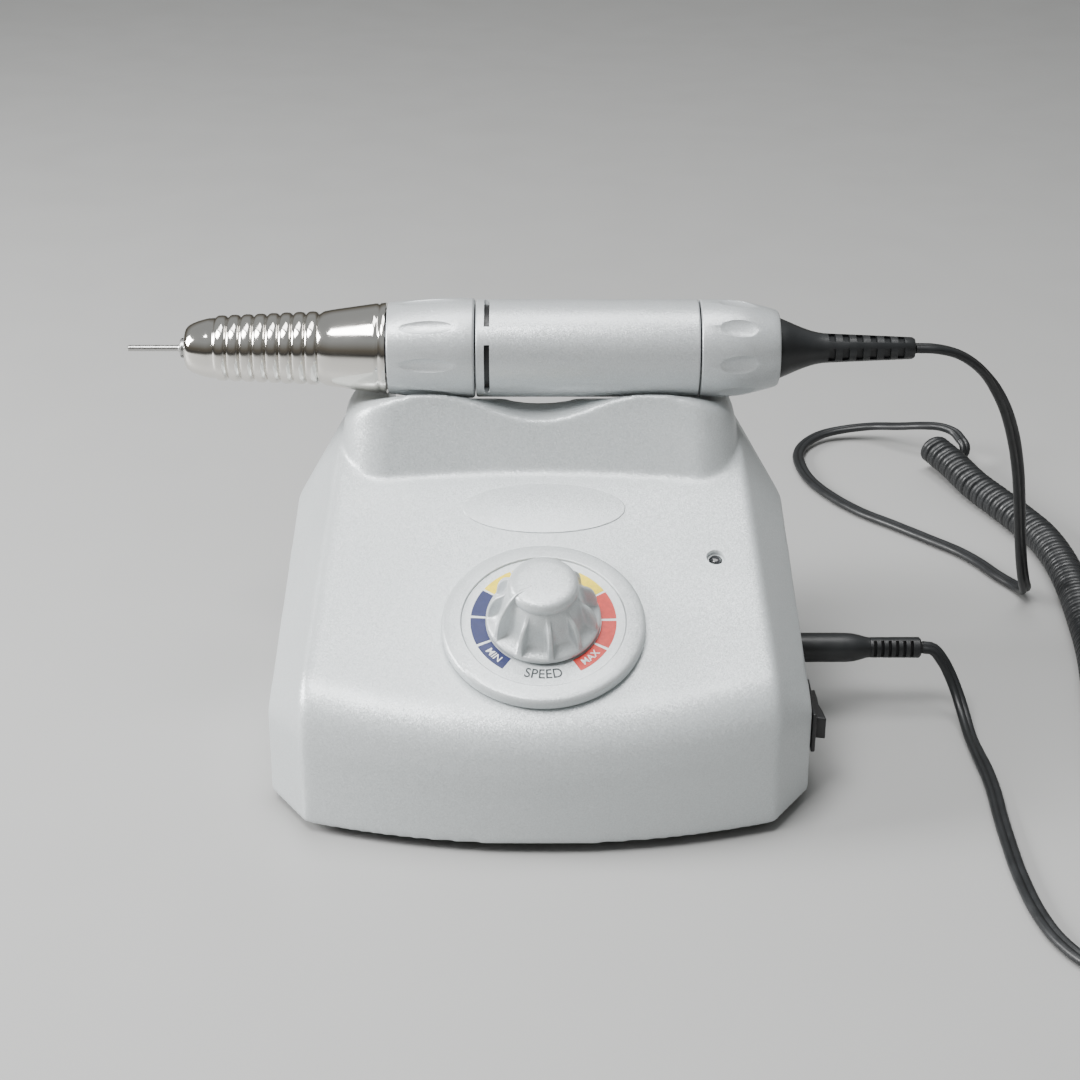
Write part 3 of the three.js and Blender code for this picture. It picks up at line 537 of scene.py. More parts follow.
COIL_AXIS = [
    (0.1398, 0.1365, 0.0082), (0.1445, 0.1254, 0.0072), (0.1496, 0.1101, 0.006),
    (0.155, 0.097, 0.0056), (0.16, 0.0831, 0.0056), (0.164, 0.07, 0.0056), (0.1659, 0.055, 0.0056),
    (0.1662, 0.038, 0.0056), (0.165, 0.016, 0.0056), (0.163, -0.006, 0.0056), (0.1596, -0.028, 0.0056),
    (0.156, -0.05, 0.0056), (0.1532, -0.07, 0.0056),
]
COIL_LEAD_IN = [
    (0.15, 0.1396, 0.01), (0.1508, 0.1378, 0.009), (0.1506, 0.1364, 0.0066), (0.1485, 0.1364, 0.0043),
    (0.1455, 0.1382, 0.0034), (0.1425, 0.139, 0.0034),
]
DROPPING_LEAD = [
    (0.1075, -0.0295, 0.0195), (0.1106, -0.0296, 0.019), (0.1136, -0.0306, 0.0156),
    (0.116, -0.0324, 0.0112), (0.1178, -0.0358, 0.0068), (0.1187, -0.04, 0.0039),
]
TABLE_LEAD = [
    (0.1188, -0.0406, 0.0036), (0.1192, -0.048, 0.0018), (0.1196, -0.057, 0.0018),
    (0.1202, -0.066, 0.0018), (0.1203, -0.076, 0.0018), (0.1197, -0.088, 0.0018),
    (0.1194, -0.1, 0.0018), (0.1194, -0.114, 0.0018), (0.1207, -0.13, 0.0018),
    (0.1236, -0.1415, 0.0018), (0.129, -0.1505, 0.0018), (0.137, -0.155, 0.0018),
    (0.1455, -0.153, 0.0018), (0.1508, -0.146, 0.0018), (0.1526, -0.136, 0.0018),
    (0.1528, -0.122, 0.0018), (0.1526, -0.108, 0.0018), (0.1524, -0.094, 0.0018),
    (0.1523, -0.082, 0.0026), (0.1524, -0.0755, 0.0045), (0.1527, -0.0709, 0.0056),
]


def smooth_path(points, spacing):
    """Points an even distance apart on a centripetal Catmull-Rom curve through the given ones."""
    knots = np.array(points, float)
    knots = np.vstack([2 * knots[0] - knots[1], knots, 2 * knots[-1] - knots[-2]])
    dense = []
    for k in range(len(knots) - 3):
        p = knots[k:k + 4]
        t = np.concatenate([[0], np.cumsum(np.linalg.norm(np.diff(p, axis=0), axis=1) ** 0.5)])
        for s in np.linspace(t[1], t[2], 24, endpoint=False):
            a = [((t[i + 1] - s) * p[i] + (s - t[i]) * p[i + 1]) / (t[i + 1] - t[i]) for i in range(3)]
            b = [((t[i + 2] - s) * a[i] + (s - t[i]) * a[i + 1]) / (t[i + 2] - t[i]) for i in range(2)]
            dense.append(((t[2] - s) * b[0] + (s - t[1]) * b[1]) / (t[2] - t[1]))
    dense.append(knots[-2])
    return evenly(np.array(dense), spacing)


def evenly(path, spacing):
    lengths = np.concatenate([[0], np.cumsum(np.linalg.norm(np.diff(path, axis=0), axis=1))])
    stops = np.linspace(0, lengths[-1], max(int(round(lengths[-1] / spacing)), 2) + 1)
    return np.stack([np.interp(stops, lengths, path[:, k]) for k in range(3)], axis=1)


def path_length(path):
    return float(np.linalg.norm(np.diff(path, axis=0), axis=1).sum())


def unit_rows(vectors):
    return vectors / np.linalg.norm(vectors, axis=1)[:, None]


def twin_section():
    """Outline of the flat twin cord: two round cores side by side, joined by a web."""
    radius = CORD_THICKNESS / 2 * MM
    offset = (CORD_WIDTH - CORD_THICKNESS) / 2 * MM
    meeting = math.pi - math.acos(offset / radius)
    angles = np.linspace(-meeting, meeting, 11)
    right = np.stack([offset + radius * np.cos(angles), radius * np.sin(angles)], axis=1)
    return np.vstack([right, -right])


def twin_cord(name, path, thin_way):
    """A flat twin cord along a path, its thin way turned to the hints given for points of the path."""
    tangents = unit_rows(np.gradient(path, axis=0))
    normals = unit_rows(thin_way - (thin_way * tangents).sum(1)[:, None] * tangents)
    sides = np.cross(tangents, normals)
    section = twin_section()
    across = section[None, :, :1] * sides[:, None, :]
    through = section[None, :, 1:] * normals[:, None, :]
    rings = path[:, None, :] + across + through
    return lofted(name, (rings / MM).tolist(), "cord_rubber", sharp=60)


def hints(path, stops):
    """Thin-way hints along a path, from (share of its length, vector) stops."""
    shares = np.linspace(0, 1, len(path))
    at = [share for share, _ in stops]
    return np.stack([np.interp(shares, at, [v[k] for _, v in stops]) for k in range(3)], axis=1)


def in_frame(path):
    return (np.asarray(path) + np.array(ORIGIN)).tolist()


def handpiece_lead():
    path = smooth_path(HANGING_LEAD + LOOP_LEAD[1:], LEAD_SPACING * MM)
    drop = path_length(smooth_path(HANGING_LEAD, LEAD_SPACING * MM)) / path_length(path)
    lead = twin_cord("handpiece_lead", path, hints(path, [
        (0, (0, 0, -1)), (0.1 * drop, (0, 0, -1)), (0.5 * drop, (-0.2, 0.9, -0.4)),
        (0.95 * drop, (-0.6, 0.8, 0)), (1.1 * drop, (-0.6, 0.8, 0.2)), (1.3 * drop, (0, 0, 1)),
        (1, (0, 0, 1)),
    ]))
    exit_point, landing = in_frame([HANGING_LEAD[0], LOOP_LEAD[2]])
    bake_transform(lead)
    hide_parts("handpiece_lead_hanging", "handpiece_lead_loop")
    return lead, exit_point, in_frame(path)


def curled_cord():
    """The curl: a lead-in down from the loop, a helix along the axis, and a last turn that winds inwards."""
    axis = smooth_path(COIL_AXIS, COIL_PITCH * MM / COIL_STEPS)
    turn = 2 * np.pi * np.linspace(0, path_length(axis), len(axis)) / (COIL_PITCH * MM)
    tangents = unit_rows(np.gradient(axis, axis=0))
    left = unit_rows(np.cross(tangents, [0, 0, 1]))
    up = np.cross(left, tangents)
    outward = np.sin(turn)[:, None] * left - np.cos(turn)[:, None] * up
    steps_to_end = np.arange(len(axis))[::-1]
    reach = np.minimum(COIL_RADIUS, LAST_RADIUS + LAST_GROWTH * steps_to_end) * MM
    helix = axis + outward * reach[:, None]
    # The lead-in is shaped to run on along the helix, and cut off again where the helix starts.
    run_on = 3
    lead_in = smooth_path(COIL_LEAD_IN + [tuple(helix[0]), tuple(helix[run_on])], LEAD_SPACING * MM)
    lead_in = lead_in[:-(run_on + 1)]
    path = np.vstack([lead_in, helix])
    lead_in_way = hints(lead_in, [
        (0, (0, 0, 1)), (0.35, (0.5, -0.8, 0)), (0.75, (0, 0, -1)), (1, (0, 0, -1)),
    ])
    thin_way = np.vstack([lead_in_way, outward])
    cord = twin_cord("curled_cord", path, thin_way)
    rides(cord, "control_unit", "cord_rubber", "coiled_cord")
    return cord, in_frame(path)[0], in_frame(path)


def plug_lead():
    path = smooth_path(DROPPING_LEAD + TABLE_LEAD[1:], LEAD_SPACING * MM)
    lead = twin_cord("plug_lead", path, hints(path, [
        (0, (0, -0.3, 1)), (0.04, (0.5, -0.5, 0.7)), (0.14, (0.4, -0.4, 0.8)), (0.2, (0, 0, 1)),
        (1, (0, 0, 1)),
    ]))
    exit_point, landing = in_frame([DROPPING_LEAD[0], TABLE_LEAD[1]])
    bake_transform(lead)
    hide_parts("plug_lead_dropping", "plug_lead_table")
    return lead, exit_point, in_frame(path)


# Each is the piece, the place where the cord leaves its body, and its path.
handpiece_cord = handpiece_lead()
coil_cord = curled_cord()
plug_cord = plug_lead()


# ---------- control box ----------
def crease_x(y):
    """Half width of the sloping top, where the side chamfer starts."""
    return CREASE_HALF - CREASE_TAPER * (y - CREASE_FROM)


def side_x(y):
    """Half width of the box at its side walls."""
    return SIDE_HALF - SIDE_TAPER * (y - SIDE_FROM)


def side_profile(inset, bow, bottom):
    """Side view of the box: up the front, over the roll and the slope, and down the rear."""
    front = BOX_FRONT + bow + inset
    rear = BOX_REAR - REAR_TAPER * inset
    top = BOX_TOP - REAR_TAPER * inset
    drop = inset / math.cos(SLOPE)
    roll = max(ROLL_RADIUS - inset, 0.6)
    rear_roll = max(REAR_RADIUS - inset, 0.6)
    roll_y = front + roll
    roll_z = slope_height(roll_y) - drop - roll / math.cos(SLOPE)
    return [
        (front, bottom),
        *arc((roll_y, roll_z), roll, math.pi, math.pi / 2 + SLOPE, 16),
        (SHOULDER_Y + (top + drop - SHOULDER_Z) / math.tan(SLOPE), top),
        *arc((rear - rear_roll, top - rear_roll), rear_roll, math.pi / 2, 0, 8),
        (rear, bottom),
    ]


def box_form(inset, bottom):
    """The box without its cradle, drawn in by an inset on every side."""
    def column(share):
        outline = side_profile(inset, BOX_BOW * share * share, bottom)
        return [(share * (crease_x(y) - CREASE_SHRINK * inset), y, z) for y, z in outline]

    def edge(side):
        outline = side_profile(CHAMFER + CHAMFER_GROWTH * inset, BOX_BOW, bottom)
        return [(side * (side_x(y) - inset), y, z) for y, z in outline]
    rings = [edge(-1), *[column(share) for share in np.linspace(-1, 1, 25)], edge(1)]
    return lofted("box_form", rings, "pearl_housing")


def crown_height(x):
    return CROWN_FOOT + CROWN_RISE * math.sqrt(max(1 - (x / CROWN_REACH) ** CROWN_POWER, 0))


def scallop_height(x):
    return SCALLOP_FLOOR + SCALLOP_SWING * (1 - math.cos(math.pi * x / SCALLOP_HALF))


def cradle_outline(z, inset):
    """Plan of the cradle at one height: rounded corners and a front face that leans back."""
    half = CRADLE_HALF - CRADLE_TAPER * (z - CROWN_FOOT) - inset
    front = SHOULDER_Y + FRONT_LEAN * (z - SHOULDER_Z) + FRONT_STEP + 1.1 * inset
    rear = BOX_REAR - 0.6 - inset
    front_corner = FRONT_CORNER - inset
    rear_corner = REAR_CORNER - inset
    corner_x = half - front_corner

    def face_y(x):
        return front - FRONT_BOW * min(abs(x) / FRONT_BOW_REACH, 1) ** 2

    def corner(x, y, radius, start):
        angles = np.radians(np.linspace(start, start + 90, 13))
        return [(x + radius * math.cos(a), y + radius * math.sin(a), z) for a in angles]
    face = [(share * corner_x, face_y(share * corner_x), z) for share in np.linspace(-0.9, 0.9, 13)]
    return [
        *corner(-corner_x, face_y(corner_x) + front_corner, front_corner, 180),
        *face,
        *corner(corner_x, face_y(corner_x) + front_corner, front_corner, 270),
        *corner(half - rear_corner, rear - rear_corner, rear_corner, 0),
        *corner(rear_corner - half, rear - rear_corner, rear_corner, 90),
    ]


def cradle_form(inset):
    """A crowned block with a round seat along it, a finger scallop and an open rear middle."""
    stations = np.linspace(-60, 60, 121)
    crown = [(x, crown_height(x) - inset) for x in stations]
    scallop = [(x, scallop_height(x) - inset) for x in stations if abs(x) <= 29]
    blank = lofted("cradle", [cradle_outline(z, inset) for z in np.linspace(60, 92, 17)], "pearl_housing")
    under_crown = prism("under_crown", "y", [(-60, 50), *crown, (60, 50)], -40, 40)
    shaped(blank, "INTERSECT", [under_crown])
    seat = rod("x", -70, 70, SEAT_RADIUS + inset, ON_AXIS, 128)
    scallop_cut = prism("scallop", "y", [(-29, 110), *scallop, (29, 110)], -40, 40)
    ramp = prism("ramp", "x", [(-0.8, 82 - inset), (20, 70 - inset), (20, 110), (-0.8, 110)], -60, 60)
    foot, head = 36 + inset, 46 + inset
    rear_middle = prism("rear_middle", "y", [(-foot, 60), (foot, 60), (head, 95), (-head, 95)], -10, 40)
    shaped(ramp, "INTERSECT", [rear_middle])
    return cut(blank, seat, scallop_cut, ramp)


def remeshed(obj, voxel):
    modifier = obj.modifiers.new("remesh", "REMESH")
    modifier.mode = "VOXEL"
    modifier.voxel_size = voxel * MM
    return applied(obj)


def relaxed(obj, rounds, strength=None):
    """Draws every point towards its neighbours, which rounds the edges. Strength is per point."""
    mesh = obj.data
    count = len(mesh.vertices)
    points = np.empty(count * 3)
    mesh.vertices.foreach_get("co", points)
    points = points.reshape(-1, 3)
    edges = np.empty(len(mesh.edges) * 2, np.int64)
    mesh.edges.foreach_get("vertices", edges)
    first, second = edges.reshape(-1, 2).T
    valence = np.bincount(edges, minlength=count)[:, None]
    weight = 0.5 if strength is None else 0.5 * strength(points)[:, None]
    for _ in range(rounds):
        total = np.stack([
            np.bincount(first, points[second, k], count) + np.bincount(second, points[first, k], count)
            for k in range(3)
        ], axis=1)
        points += weight * (total / valence - points)
    mesh.vertices.foreach_set("co", points.ravel())
    return obj


def rising(values, start, width):
    """0 up to a start, 1 beyond a width from it, and even in between."""
    return np.clip((values - start) / width, 0, 1)


def crown_ends(points):
    """How far each point of the housing belongs to the soft ends of the cradle's crown, 0 to 1."""
    x, _, z = (points - np.array(ORIGIN)).T / MM
    return rising(np.abs(x), 36, 12) * rising(z, 77, 4)


def soft_creases(points):
    """The broad creases along the side chamfers and the lower corners, 0 to 1."""
    x, _, z = (points - np.array(ORIGIN)).T / MM
    return rising(np.abs(x), 50, 5) * rising(-z, -70, 4) * rising(z, 6, 6)


def ellipse_disc(low, high, half_x, half_y, place):
    """An oval pad with an eased upper edge."""
    rim = [(low, 1.0), (high - 0.15, 1.0), (high - 0.04, 0.995), (high, 0.98)]
    stretched = place @ Matrix.Diagonal((half_x, half_y, 1, 1))
    return turned("badge", "z", [(low, 0), *rim, (high, 0)], "pearl_housing", stretched, 160)


def softened_form():
    """Box and cradle as one skin, with moulded edges: soft all over, softer on the crown and the creases."""
    shell = united(box_form(0, BOX_BOTTOM), cradle_form(0))
    remeshed(shell, HOUSING_VOXEL)
    relaxed(shell, 5)
    relaxed(shell, 26, crown_ends)
    return relaxed(shell, 12, soft_creases)


def housing():
    shell = softened_form()
    hollow = united(box_form(BOX_WALL, BOX_BOTTOM - 2), cradle_form(BOX_WALL + 0.5))
    cut(shell, hollow)
    bosses = [
        cut(rod("z", 5.8, top, 3.6, moved(x, y, 0)), rod("z", 5, top + 1, 1.3, moved(x, y, 0)))
        for x, y, top in SCREW_PLACES
    ]
    badge = ellipse_disc(-1, 0.3, *BADGE_HALF, on_slope(BADGE_X, BADGE_Y))
    united(shell, badge, *bosses)
    rocker_slot = block((55, ROCKER_Y - 8.8, ROCKER_Z - 5), (80, ROCKER_Y + 8.8, ROCKER_Z + 5))
    inlet_slot = block(
        (INLET_X - INLET_HALF[0] - 0.3, 5, INLET_Z - INLET_HALF[1] - 0.3),
        (INLET_X + INLET_HALF[0] + 0.3, 25, INLET_Z + INLET_HALF[1] + 0.3),
    )
    jack_hole = rod("x", 60, 80, 4, AT_JACK)
    dial_hole = rod("z", -12, 12, 4.3, ON_DIAL)
    led_well = turned("led_well", "z", [
        (-12, 0), (-12, 1.8), (-1.3, 1.8), (-1.3, 2.1), (-0.3, 2.3), (0.4, 2.9), (3, 2.9), (3, 0)],
        "pearl_housing", on_slope(LED_X, LED_Y))
    cut(shell, rocker_slot, inlet_slot, jack_hole, dial_hole, led_well)
    shell.name = "housing_shell"
    redressed(shell, "control_unit", "pearl_housing", "upper_housing", sharp=38)


def feet_and_screws():
    for k, (x, y) in enumerate(FOOT_PLACES, 1):
        outline = [(0.5, 0), (0.5, 3.2), (0, 3.8), (0, 5.3), (0.6, 6), (2.9, 6), (2.9, 0)]
        foot = turned(f"foot_{k}", "z", outline, "foot_rubber", moved(x, y, 0), 64, 0.3)
        rides(foot, "control_unit", "foot_rubber", f"rubber_foot_{k}")
    for k, (x, y, _) in enumerate(SCREW_PLACES, 1):
        outline = [(3.3, 0), (3.3, 2.7), (4.2, 3), (4.2, 1)]
        for turn in range(12):
            outline += [(4.6 + THREAD_PITCH * turn, 1.0), (4.95 + THREAD_PITCH * turn, 0.75)]
        screw = turned(f"screw_{k}", "z", [*outline, (14, 0.9), (14, 0)], "steel", moved(x, y, 0), 32)
        across, along = (1.6, 0.25), (0.25, 1.6)
        cross = [block((-a, -b, 3), (a, b, 4), moved(x, y, 0)) for a, b in (across, along)]
        cut(screw, *cross)
        redressed(screw, "control_unit", "steel", f"base_screw_{k}")


def rounded(obj, width):
    """Eases every sharp edge of a mesh."""
    modifier = obj.modifiers.new("ease", "BEVEL")
    modifier.width = width * MM
    modifier.segments = 3
    modifier.limit_method = "ANGLE"
    modifier.angle_limit = math.radians(35)
    return applied(obj)


def rocker_switch():
    at_switch = moved(0, ROCKER_Y, ROCKER_Z)
    bezel = block((71, -9.5, -5.7), (72.2, 9.5, 5.7), at_switch)
    rounded(bezel, 0.4)
    united(bezel, block((58, -8.5, -4.7), (71.3, 8.5, 4.7), at_switch))
    cut(bezel, block((63, -8.1, -3.6), (80, 8.1, 3.6), at_switch))
    bezel.name = "switch_bezel"
    redressed(bezel, "control_unit", "black_plastic", "switch_body")
    outline = [
        (6.7, -7.7), (6.55, -3.4), (6.2, 0), (6.55, 3.4), (6.7, 7.7),
        (-0.5, 5.6), (-2.2, 1.6), (-2.2, -1.6), (-0.5, -5.6),
    ]
    place = moved(ROCKER_PIVOT_X, ROCKER_Y, ROCKER_Z) @ Matrix.Rotation(ROCKER_TILT, 4, "Z")
    paddle = prism("switch_paddle", "z", outline, -3.1, 3.1, "black_plastic", place)
    rounded(paddle, 0.3)
    redressed(paddle, "switch_paddle", "black_plastic", "switch_rocker")


def mains_inlet():
    half_x, half_z = INLET_HALF
    place = moved(INLET_X, 0, INLET_Z)
    body = block((-half_x, 0, -half_z), (half_x, 14.7, half_z), place)
    rounded(body, 0.6)
    facing_rear = Matrix.Rotation(math.pi / 2, 4, "X")
    pin_places = [place @ moved(x, 0, 0) @ facing_rear for x in (-INLET_PIN_X, INLET_PIN_X)]
    sockets = [rod("z", -20, -4.5, 3.95, pin_place) for pin_place in pin_places]
    web = block((-INLET_PIN_X, 4.5, -2.6), (INLET_PIN_X, 20, 2.6), place)
    cut(body, *sockets, web)
    body.name = "inlet_body"
    redressed(body, "control_unit", "black_plastic", "mains_inlet")
    pin_outline = [(-13, 0), (-13, 0.7), (-12.6, 1.15), (-4, 1.15), (-4, 0)]
    for k, pin_place in enumerate(pin_places, 1):
        pin = turned(f"inlet_pin_{k}", "z", pin_outline, "steel", pin_place, 32)
        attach(pin, "control_unit")


def indicator():
    outline = [(-7, 0), (-7, 1.6), (-1.6, 1.6), (-1.1, 1.4), (-0.8, 0.9), (-0.7, 0)]
    lens = turned("indicator_lens", "z", outline, "led", on_slope(LED_X, LED_Y), 48, 0.2)
    rides(lens, "control_unit", "led", "indicator_led")


# ---------- speed dial ----------
INK = 0.06
SCALE_INNER, SCALE_OUTER = 14.9, 18.8
CAPITAL_SHARE = 0.7
STROKE_GAIN = 0.012
SECTORS = [
    (BLUE_INK, "blue", [(147, 174.5), (177, 204.5), (207, 236.5)]),
    (YELLOW_INK, "yellow", [(118, 145), (90, 116), (62, 88), (33, 60)]),
    (RED_INK, "red", [(2.5, 31), (-28.5, 0), (-60, -31)]),
]


def dial():
    plate_outline = [
        (0.3, 4.3), (0.3, 25.8), (0.7, 26.4), (2.2, 26.4), (2.9, 26.2), (3.35, 25.7), (3.55, 25.0),
        (3.7, 23.5), (3.85, 21.6), (3.8, 21.35), (3.5, 21.2), (3.0, 21.15), (3.0, 4.3),
    ]
    plate = turned("dial_body", "z", plate_outline, "dial_plate", ON_DIAL, 160, 0.25)
    rides(plate, "control_unit", "dial_plate", "dial_plate")
    label_outline = [(3.05, 4.6), (3.05, 21.1), (LABEL_TOP, 21.1), (LABEL_TOP, 4.6)]
    label = turned("dial_label", "z", label_outline, "dial_label", ON_DIAL, 160)
    rides(label, "control_unit", "dial_label", "dial_scale")
    for ink, color, spans in SECTORS:
        for k, (start, end) in enumerate(spans, 1):
            outline = ring_sector(SCALE_INNER, SCALE_OUTER, start, end, 16)
            levels = (LABEL_TOP - 0.02, LABEL_TOP + INK)
            sector = prism(f"{color}_sector_{k}", "z", outline, *levels, ink, ON_DIAL)
            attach(sector, "control_unit")


def legend(words, angle, radius, height, squeeze, ink, level):
    """Words bent round the dial, with their tops towards its middle."""
    curve = bpy.data.curves.new(words, "FONT")
    curve.body = words
    curve.size = height / CAPITAL_SHARE * MM
    curve.extrude = INK / 2 * MM
    curve.offset = STROKE_GAIN * height * MM
    curve.align_x = "CENTER"
    curve.resolution_u = 6
    text = bpy.data.objects.new("text", curve)
    bpy.context.scene.collection.objects.link(text)
    bpy.context.view_layer.update()
    flat = bpy.data.meshes.new_from_object(text.evaluated_get(bpy.context.evaluated_depsgraph_get()))
    bpy.data.objects.remove(text)
    points = []
    for vertex in flat.vertices:
        x, y, z = vertex.co / MM
        turn = math.radians(angle) + squeeze * x / radius
        reach = radius + height / 2 - y
        points.append((reach * math.cos(turn), reach * math.sin(turn), level + INK / 2 + z))
    faces = [tuple(face.vertices) for face in flat.polygons]
    mark = mesh_object(f"legend_{words.lower()}", points, faces, ink, ON_DIAL)
    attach(mark, "control_unit")


# Outlines of the knob from the skirt up to the middle of the dome, as (radius, height above the skirt):
# its body, its fins and the taller fin that points. They share the skirt, and the first two the dome.
KNOB_SKIRT = [(14.3, 0.0), (14.75, 0.25), (14.8, 0.8)]
KNOB_DOME = [
    (9.1, 11.3), (8.75, 12.0), (8.9, 12.3), (8.95, 13.1), (8.8, 13.9), (8.4, 14.5), (7.6, 14.9), (6.0, 15.12),
    (3.0, 15.2), (0.0, 15.2),
]
KNOB_BODY = [
    *KNOB_SKIRT, (14.6, 1.2), (14.1, 1.45), (13.4, 1.7), (12.6, 2.1), (11.8, 2.7), (11.2, 3.6), (10.8, 4.8),
    (10.5, 6.2), (10.2, 7.6), (9.9, 9.0), (9.5, 10.2), *KNOB_DOME,
]
KNOB_FIN = [
    *KNOB_SKIRT, (14.65, 1.25), (14.4, 1.6), (14.3, 2.1), (14.25, 2.9), (14.1, 4.1), (13.8, 5.5), (13.3, 6.8),
    (12.6, 7.9), (11.7, 8.75), (10.7, 9.3), (9.7, 10.2), *KNOB_DOME,
]
KNOB_POINTER = [
    *KNOB_FIN[:8], (13.85, 5.7), (13.5, 7.3), (13.0, 8.8), (12.3, 10.2), (11.4, 11.6), (10.5, 12.8),
    (9.7, 13.7), (9.0, 14.3), (8.6, 14.6), (8.3, 14.95), (7.9, 15.1), (7.5, 15.15), (7.0, 15.15),
    (6.0, 15.15), (3.0, 15.2), (0.0, 15.2),
]
# How much of a fin stands at a distance in millimetres from its middle plane.
FIN_SHAPE = [
    (0, 1), (0.3, 1), (0.46, 0.96), (0.58, 0.84), (0.67, 0.6),
    (0.76, 0.34), (0.95, 0.14), (1.3, 0.05), (2.0, 0.01), (2.8, 0),
]
FIN_RADIUS = 12.0


def speed_knob():
    pitch = 2 * math.pi / KNOB_FINS
    half_fin = [(distance / FIN_RADIUS, share) for distance, share in FIN_SHAPE]
    whole_fin = [(-turn, share) for turn, share in half_fin[:0:-1]] + half_fin
    columns = [
        (math.radians(POINTER_ANGLE) + fin * pitch + turn, share, KNOB_FIN if fin else KNOB_POINTER)
        for fin in range(KNOB_FINS)
        for turn, share in whole_fin
    ]
    inside = [(0, 8.7), (3.3, 8.7), (3.3, 2.6), (8.4, 2.6), (8.4, 0)]
    points = []
    for turn, share, crest in columns:
        outside = [
            (radius + (crest_radius - radius) * share, height + (crest_height - height) * share)
            for (radius, height), (crest_radius, crest_height) in zip(KNOB_BODY, crest)
        ]
        points += [(r * math.cos(turn), r * math.sin(turn), KNOB_BASE + z) for r, z in inside + outside]
    count = len(inside) + len(KNOB_BODY)
    faces = wound_faces(len(columns), count, range(count - 1))
    knob = mesh_object("knob_body", points, faces, "knob", ON_DIAL, 40)
    rides(knob, "knob", "knob", "speed_knob")


# ---------- handpiece ----------
RING_FIRST, RING_PITCH, RING_COUNT, RING_GROWTH, RING_DEPTH = -88.1, 3.6, 8, 0.157, 0.8
VENT_COUNT, VENT_HALF, VENT_FIRST = 4, 34, 189.8
WINDOW_FIRST, WINDOW_PITCH, WINDOW_WIDTH, WINDOW_COUNT, WINDOW_TURN = 79.8, 3.85, 1.9, 6, 12
WINDOW_FLOOR, WINDOW_HALF = 2.6, 2


def twist_collar():
    outside = [
        (-98.3, 4.7), (-98.1, 5.3), (-97.7, 5.95), (-96.9, 6.55), (-95.8, 7.1), (-94.4, 7.6), (-93, 8),
        (-91.6, 8.3), (RING_FIRST - RING_PITCH / 2, 8.45),
    ]
    for k in range(RING_COUNT):
        middle = RING_FIRST + RING_PITCH * k
        radius = 9.1 + RING_GROWTH * k
        for share in np.linspace(-1, 1, 15)[1:]:
            outside.append((middle + share * RING_PITCH / 2, radius - RING_DEPTH * abs(share) ** 3.2))
    outside += [
        (-59.6, 10.3), (-57, 10.75), (-50, 11.75), (-45.6, 12.35), (-44.9, 12.4), (-44.5, 12.15),
        (-44.2, 12.15), (-43.9, 12.5), (-42.7, 12.6), (-42.4, 12.5),
    ]
    inside = [(-42.4, 11.4), (-47, 10.6), (-58, 7.6), (-90, 7.35), (-90.6, 3.9), (-98.3, 3.9)]
    collar = turned("collar_shell", "x", [*outside, *inside], "chrome", ON_AXIS, 160, sharp=50)
    rides(collar, "collar", "chrome", "twist_collar")


def about_axis(degrees):
    """Place of a piece drawn about the X axis, on the handpiece and turned about its axis."""
    return ON_AXIS @ Matrix.Rotation(math.radians(degrees), 4, "X")


def dimples(x, radius, tilt, size):
    """Cutters for shallow oval hollows, one facing each eighth of a turn, tilted with the surface."""
    half_circle = arc((0, 0), 1, math.pi, 0, 32)
    ball = [(-1, 0), *half_circle[1:-1], (1, 0)]
    seated = moved(x, 0, radius) @ Matrix.Rotation(math.radians(tilt), 4, "Y") @ Matrix.Diagonal((*size, 1))
    return [
        turned("dimple", "x", ball, "handpiece_grey", about_axis(45 * k) @ seated, 64)
        for k in range(8)
    ]


def arc_bar(low, high, inner, outer, start, end):
    """A bar bent about the X axis, between two angles in degrees from +Y."""
    return prism("arc_bar", "x", ring_sector(inner, outer, start, end, 24), low, high, place=ON_AXIS)


def front_housing():
    outline = [
        (-42, 12.3), (-41.6, 12.6), (-38, 13.05), (-34, 13.4), (-30, 13.7), (-26, 13.88), (-22, 13.9),
        (-18.5, 13.75), (-18, 13.3), (-18, 11.3), (-42, 11.3),
    ]
    front = turned("front_shell", "x", outline, "handpiece_grey", ON_AXIS, 160, 0.15)
    cut(front, *dimples(-30.7, 13.95, -3.8, (9, 2.3, 0.9)))
    redressed(front, "handpiece", "handpiece_grey", "front_housing")


def vented_barrel():
    outline = [(-17.6, 13.2), (-17.3, 13.5), (43.4, 13.5), (43.7, 13.2), (43.7, 12), (-17.6, 12)]
    tube = turned("barrel_shell", "x", outline, "handpiece_grey", ON_AXIS, 160, 0.2)
    middles = [VENT_FIRST + 360 * k / VENT_COUNT for k in range(VENT_COUNT)]
    slots = [arc_bar(-15.3, -13.8, 11, 15, middle - VENT_HALF, middle + VENT_HALF) for middle in middles]
    cut(tube, *slots)
    redressed(tube, "handpiece", "handpiece_grey", "barrel")
    # A black sleeve inside the barrel behind the vent slots: painted shade, so that the slots look dark
    # inside.
    painted_shade_outline = [(-16.9, 11), (-16.9, 11.9), (-12.2, 11.9), (-12.2, 11)]
    painted_shade_sleeve = turned("vent_painted_shade", "x", painted_shade_outline, "black_plastic", ON_AXIS, 96, 0.15)
    rides(painted_shade_sleeve, "handpiece", "black_plastic")


def rear_cap():
    outline = [
        (44.1, 13.2), (44.4, 13.5), (49.2, 13.5), (52.2, 13.4), (54.2, 13.22), (56.2, 12.95), (57.7, 12.65),
        (59.2, 12.25), (60.9, 11.85), (62.5, 11.4), (63.8, 11.05), (65, 10.65), (65.7, 10.3), (66, 9.8),
        (66, 8.75), (62.6, 8.75), (62.6, 10.3), (59.7, 10.3), (56.7, 11.2), (51.2, 12), (44.1, 12),
    ]
    rear = turned("rear_shell", "x", outline, "handpiece_grey", ON_AXIS, 160, 0.2)
    cut(rear, *dimples(54.8, 13.4, 6.4, (6.9, 3.0, 1.0)))
    redressed(rear, "handpiece", "handpiece_grey", "rear_cap")


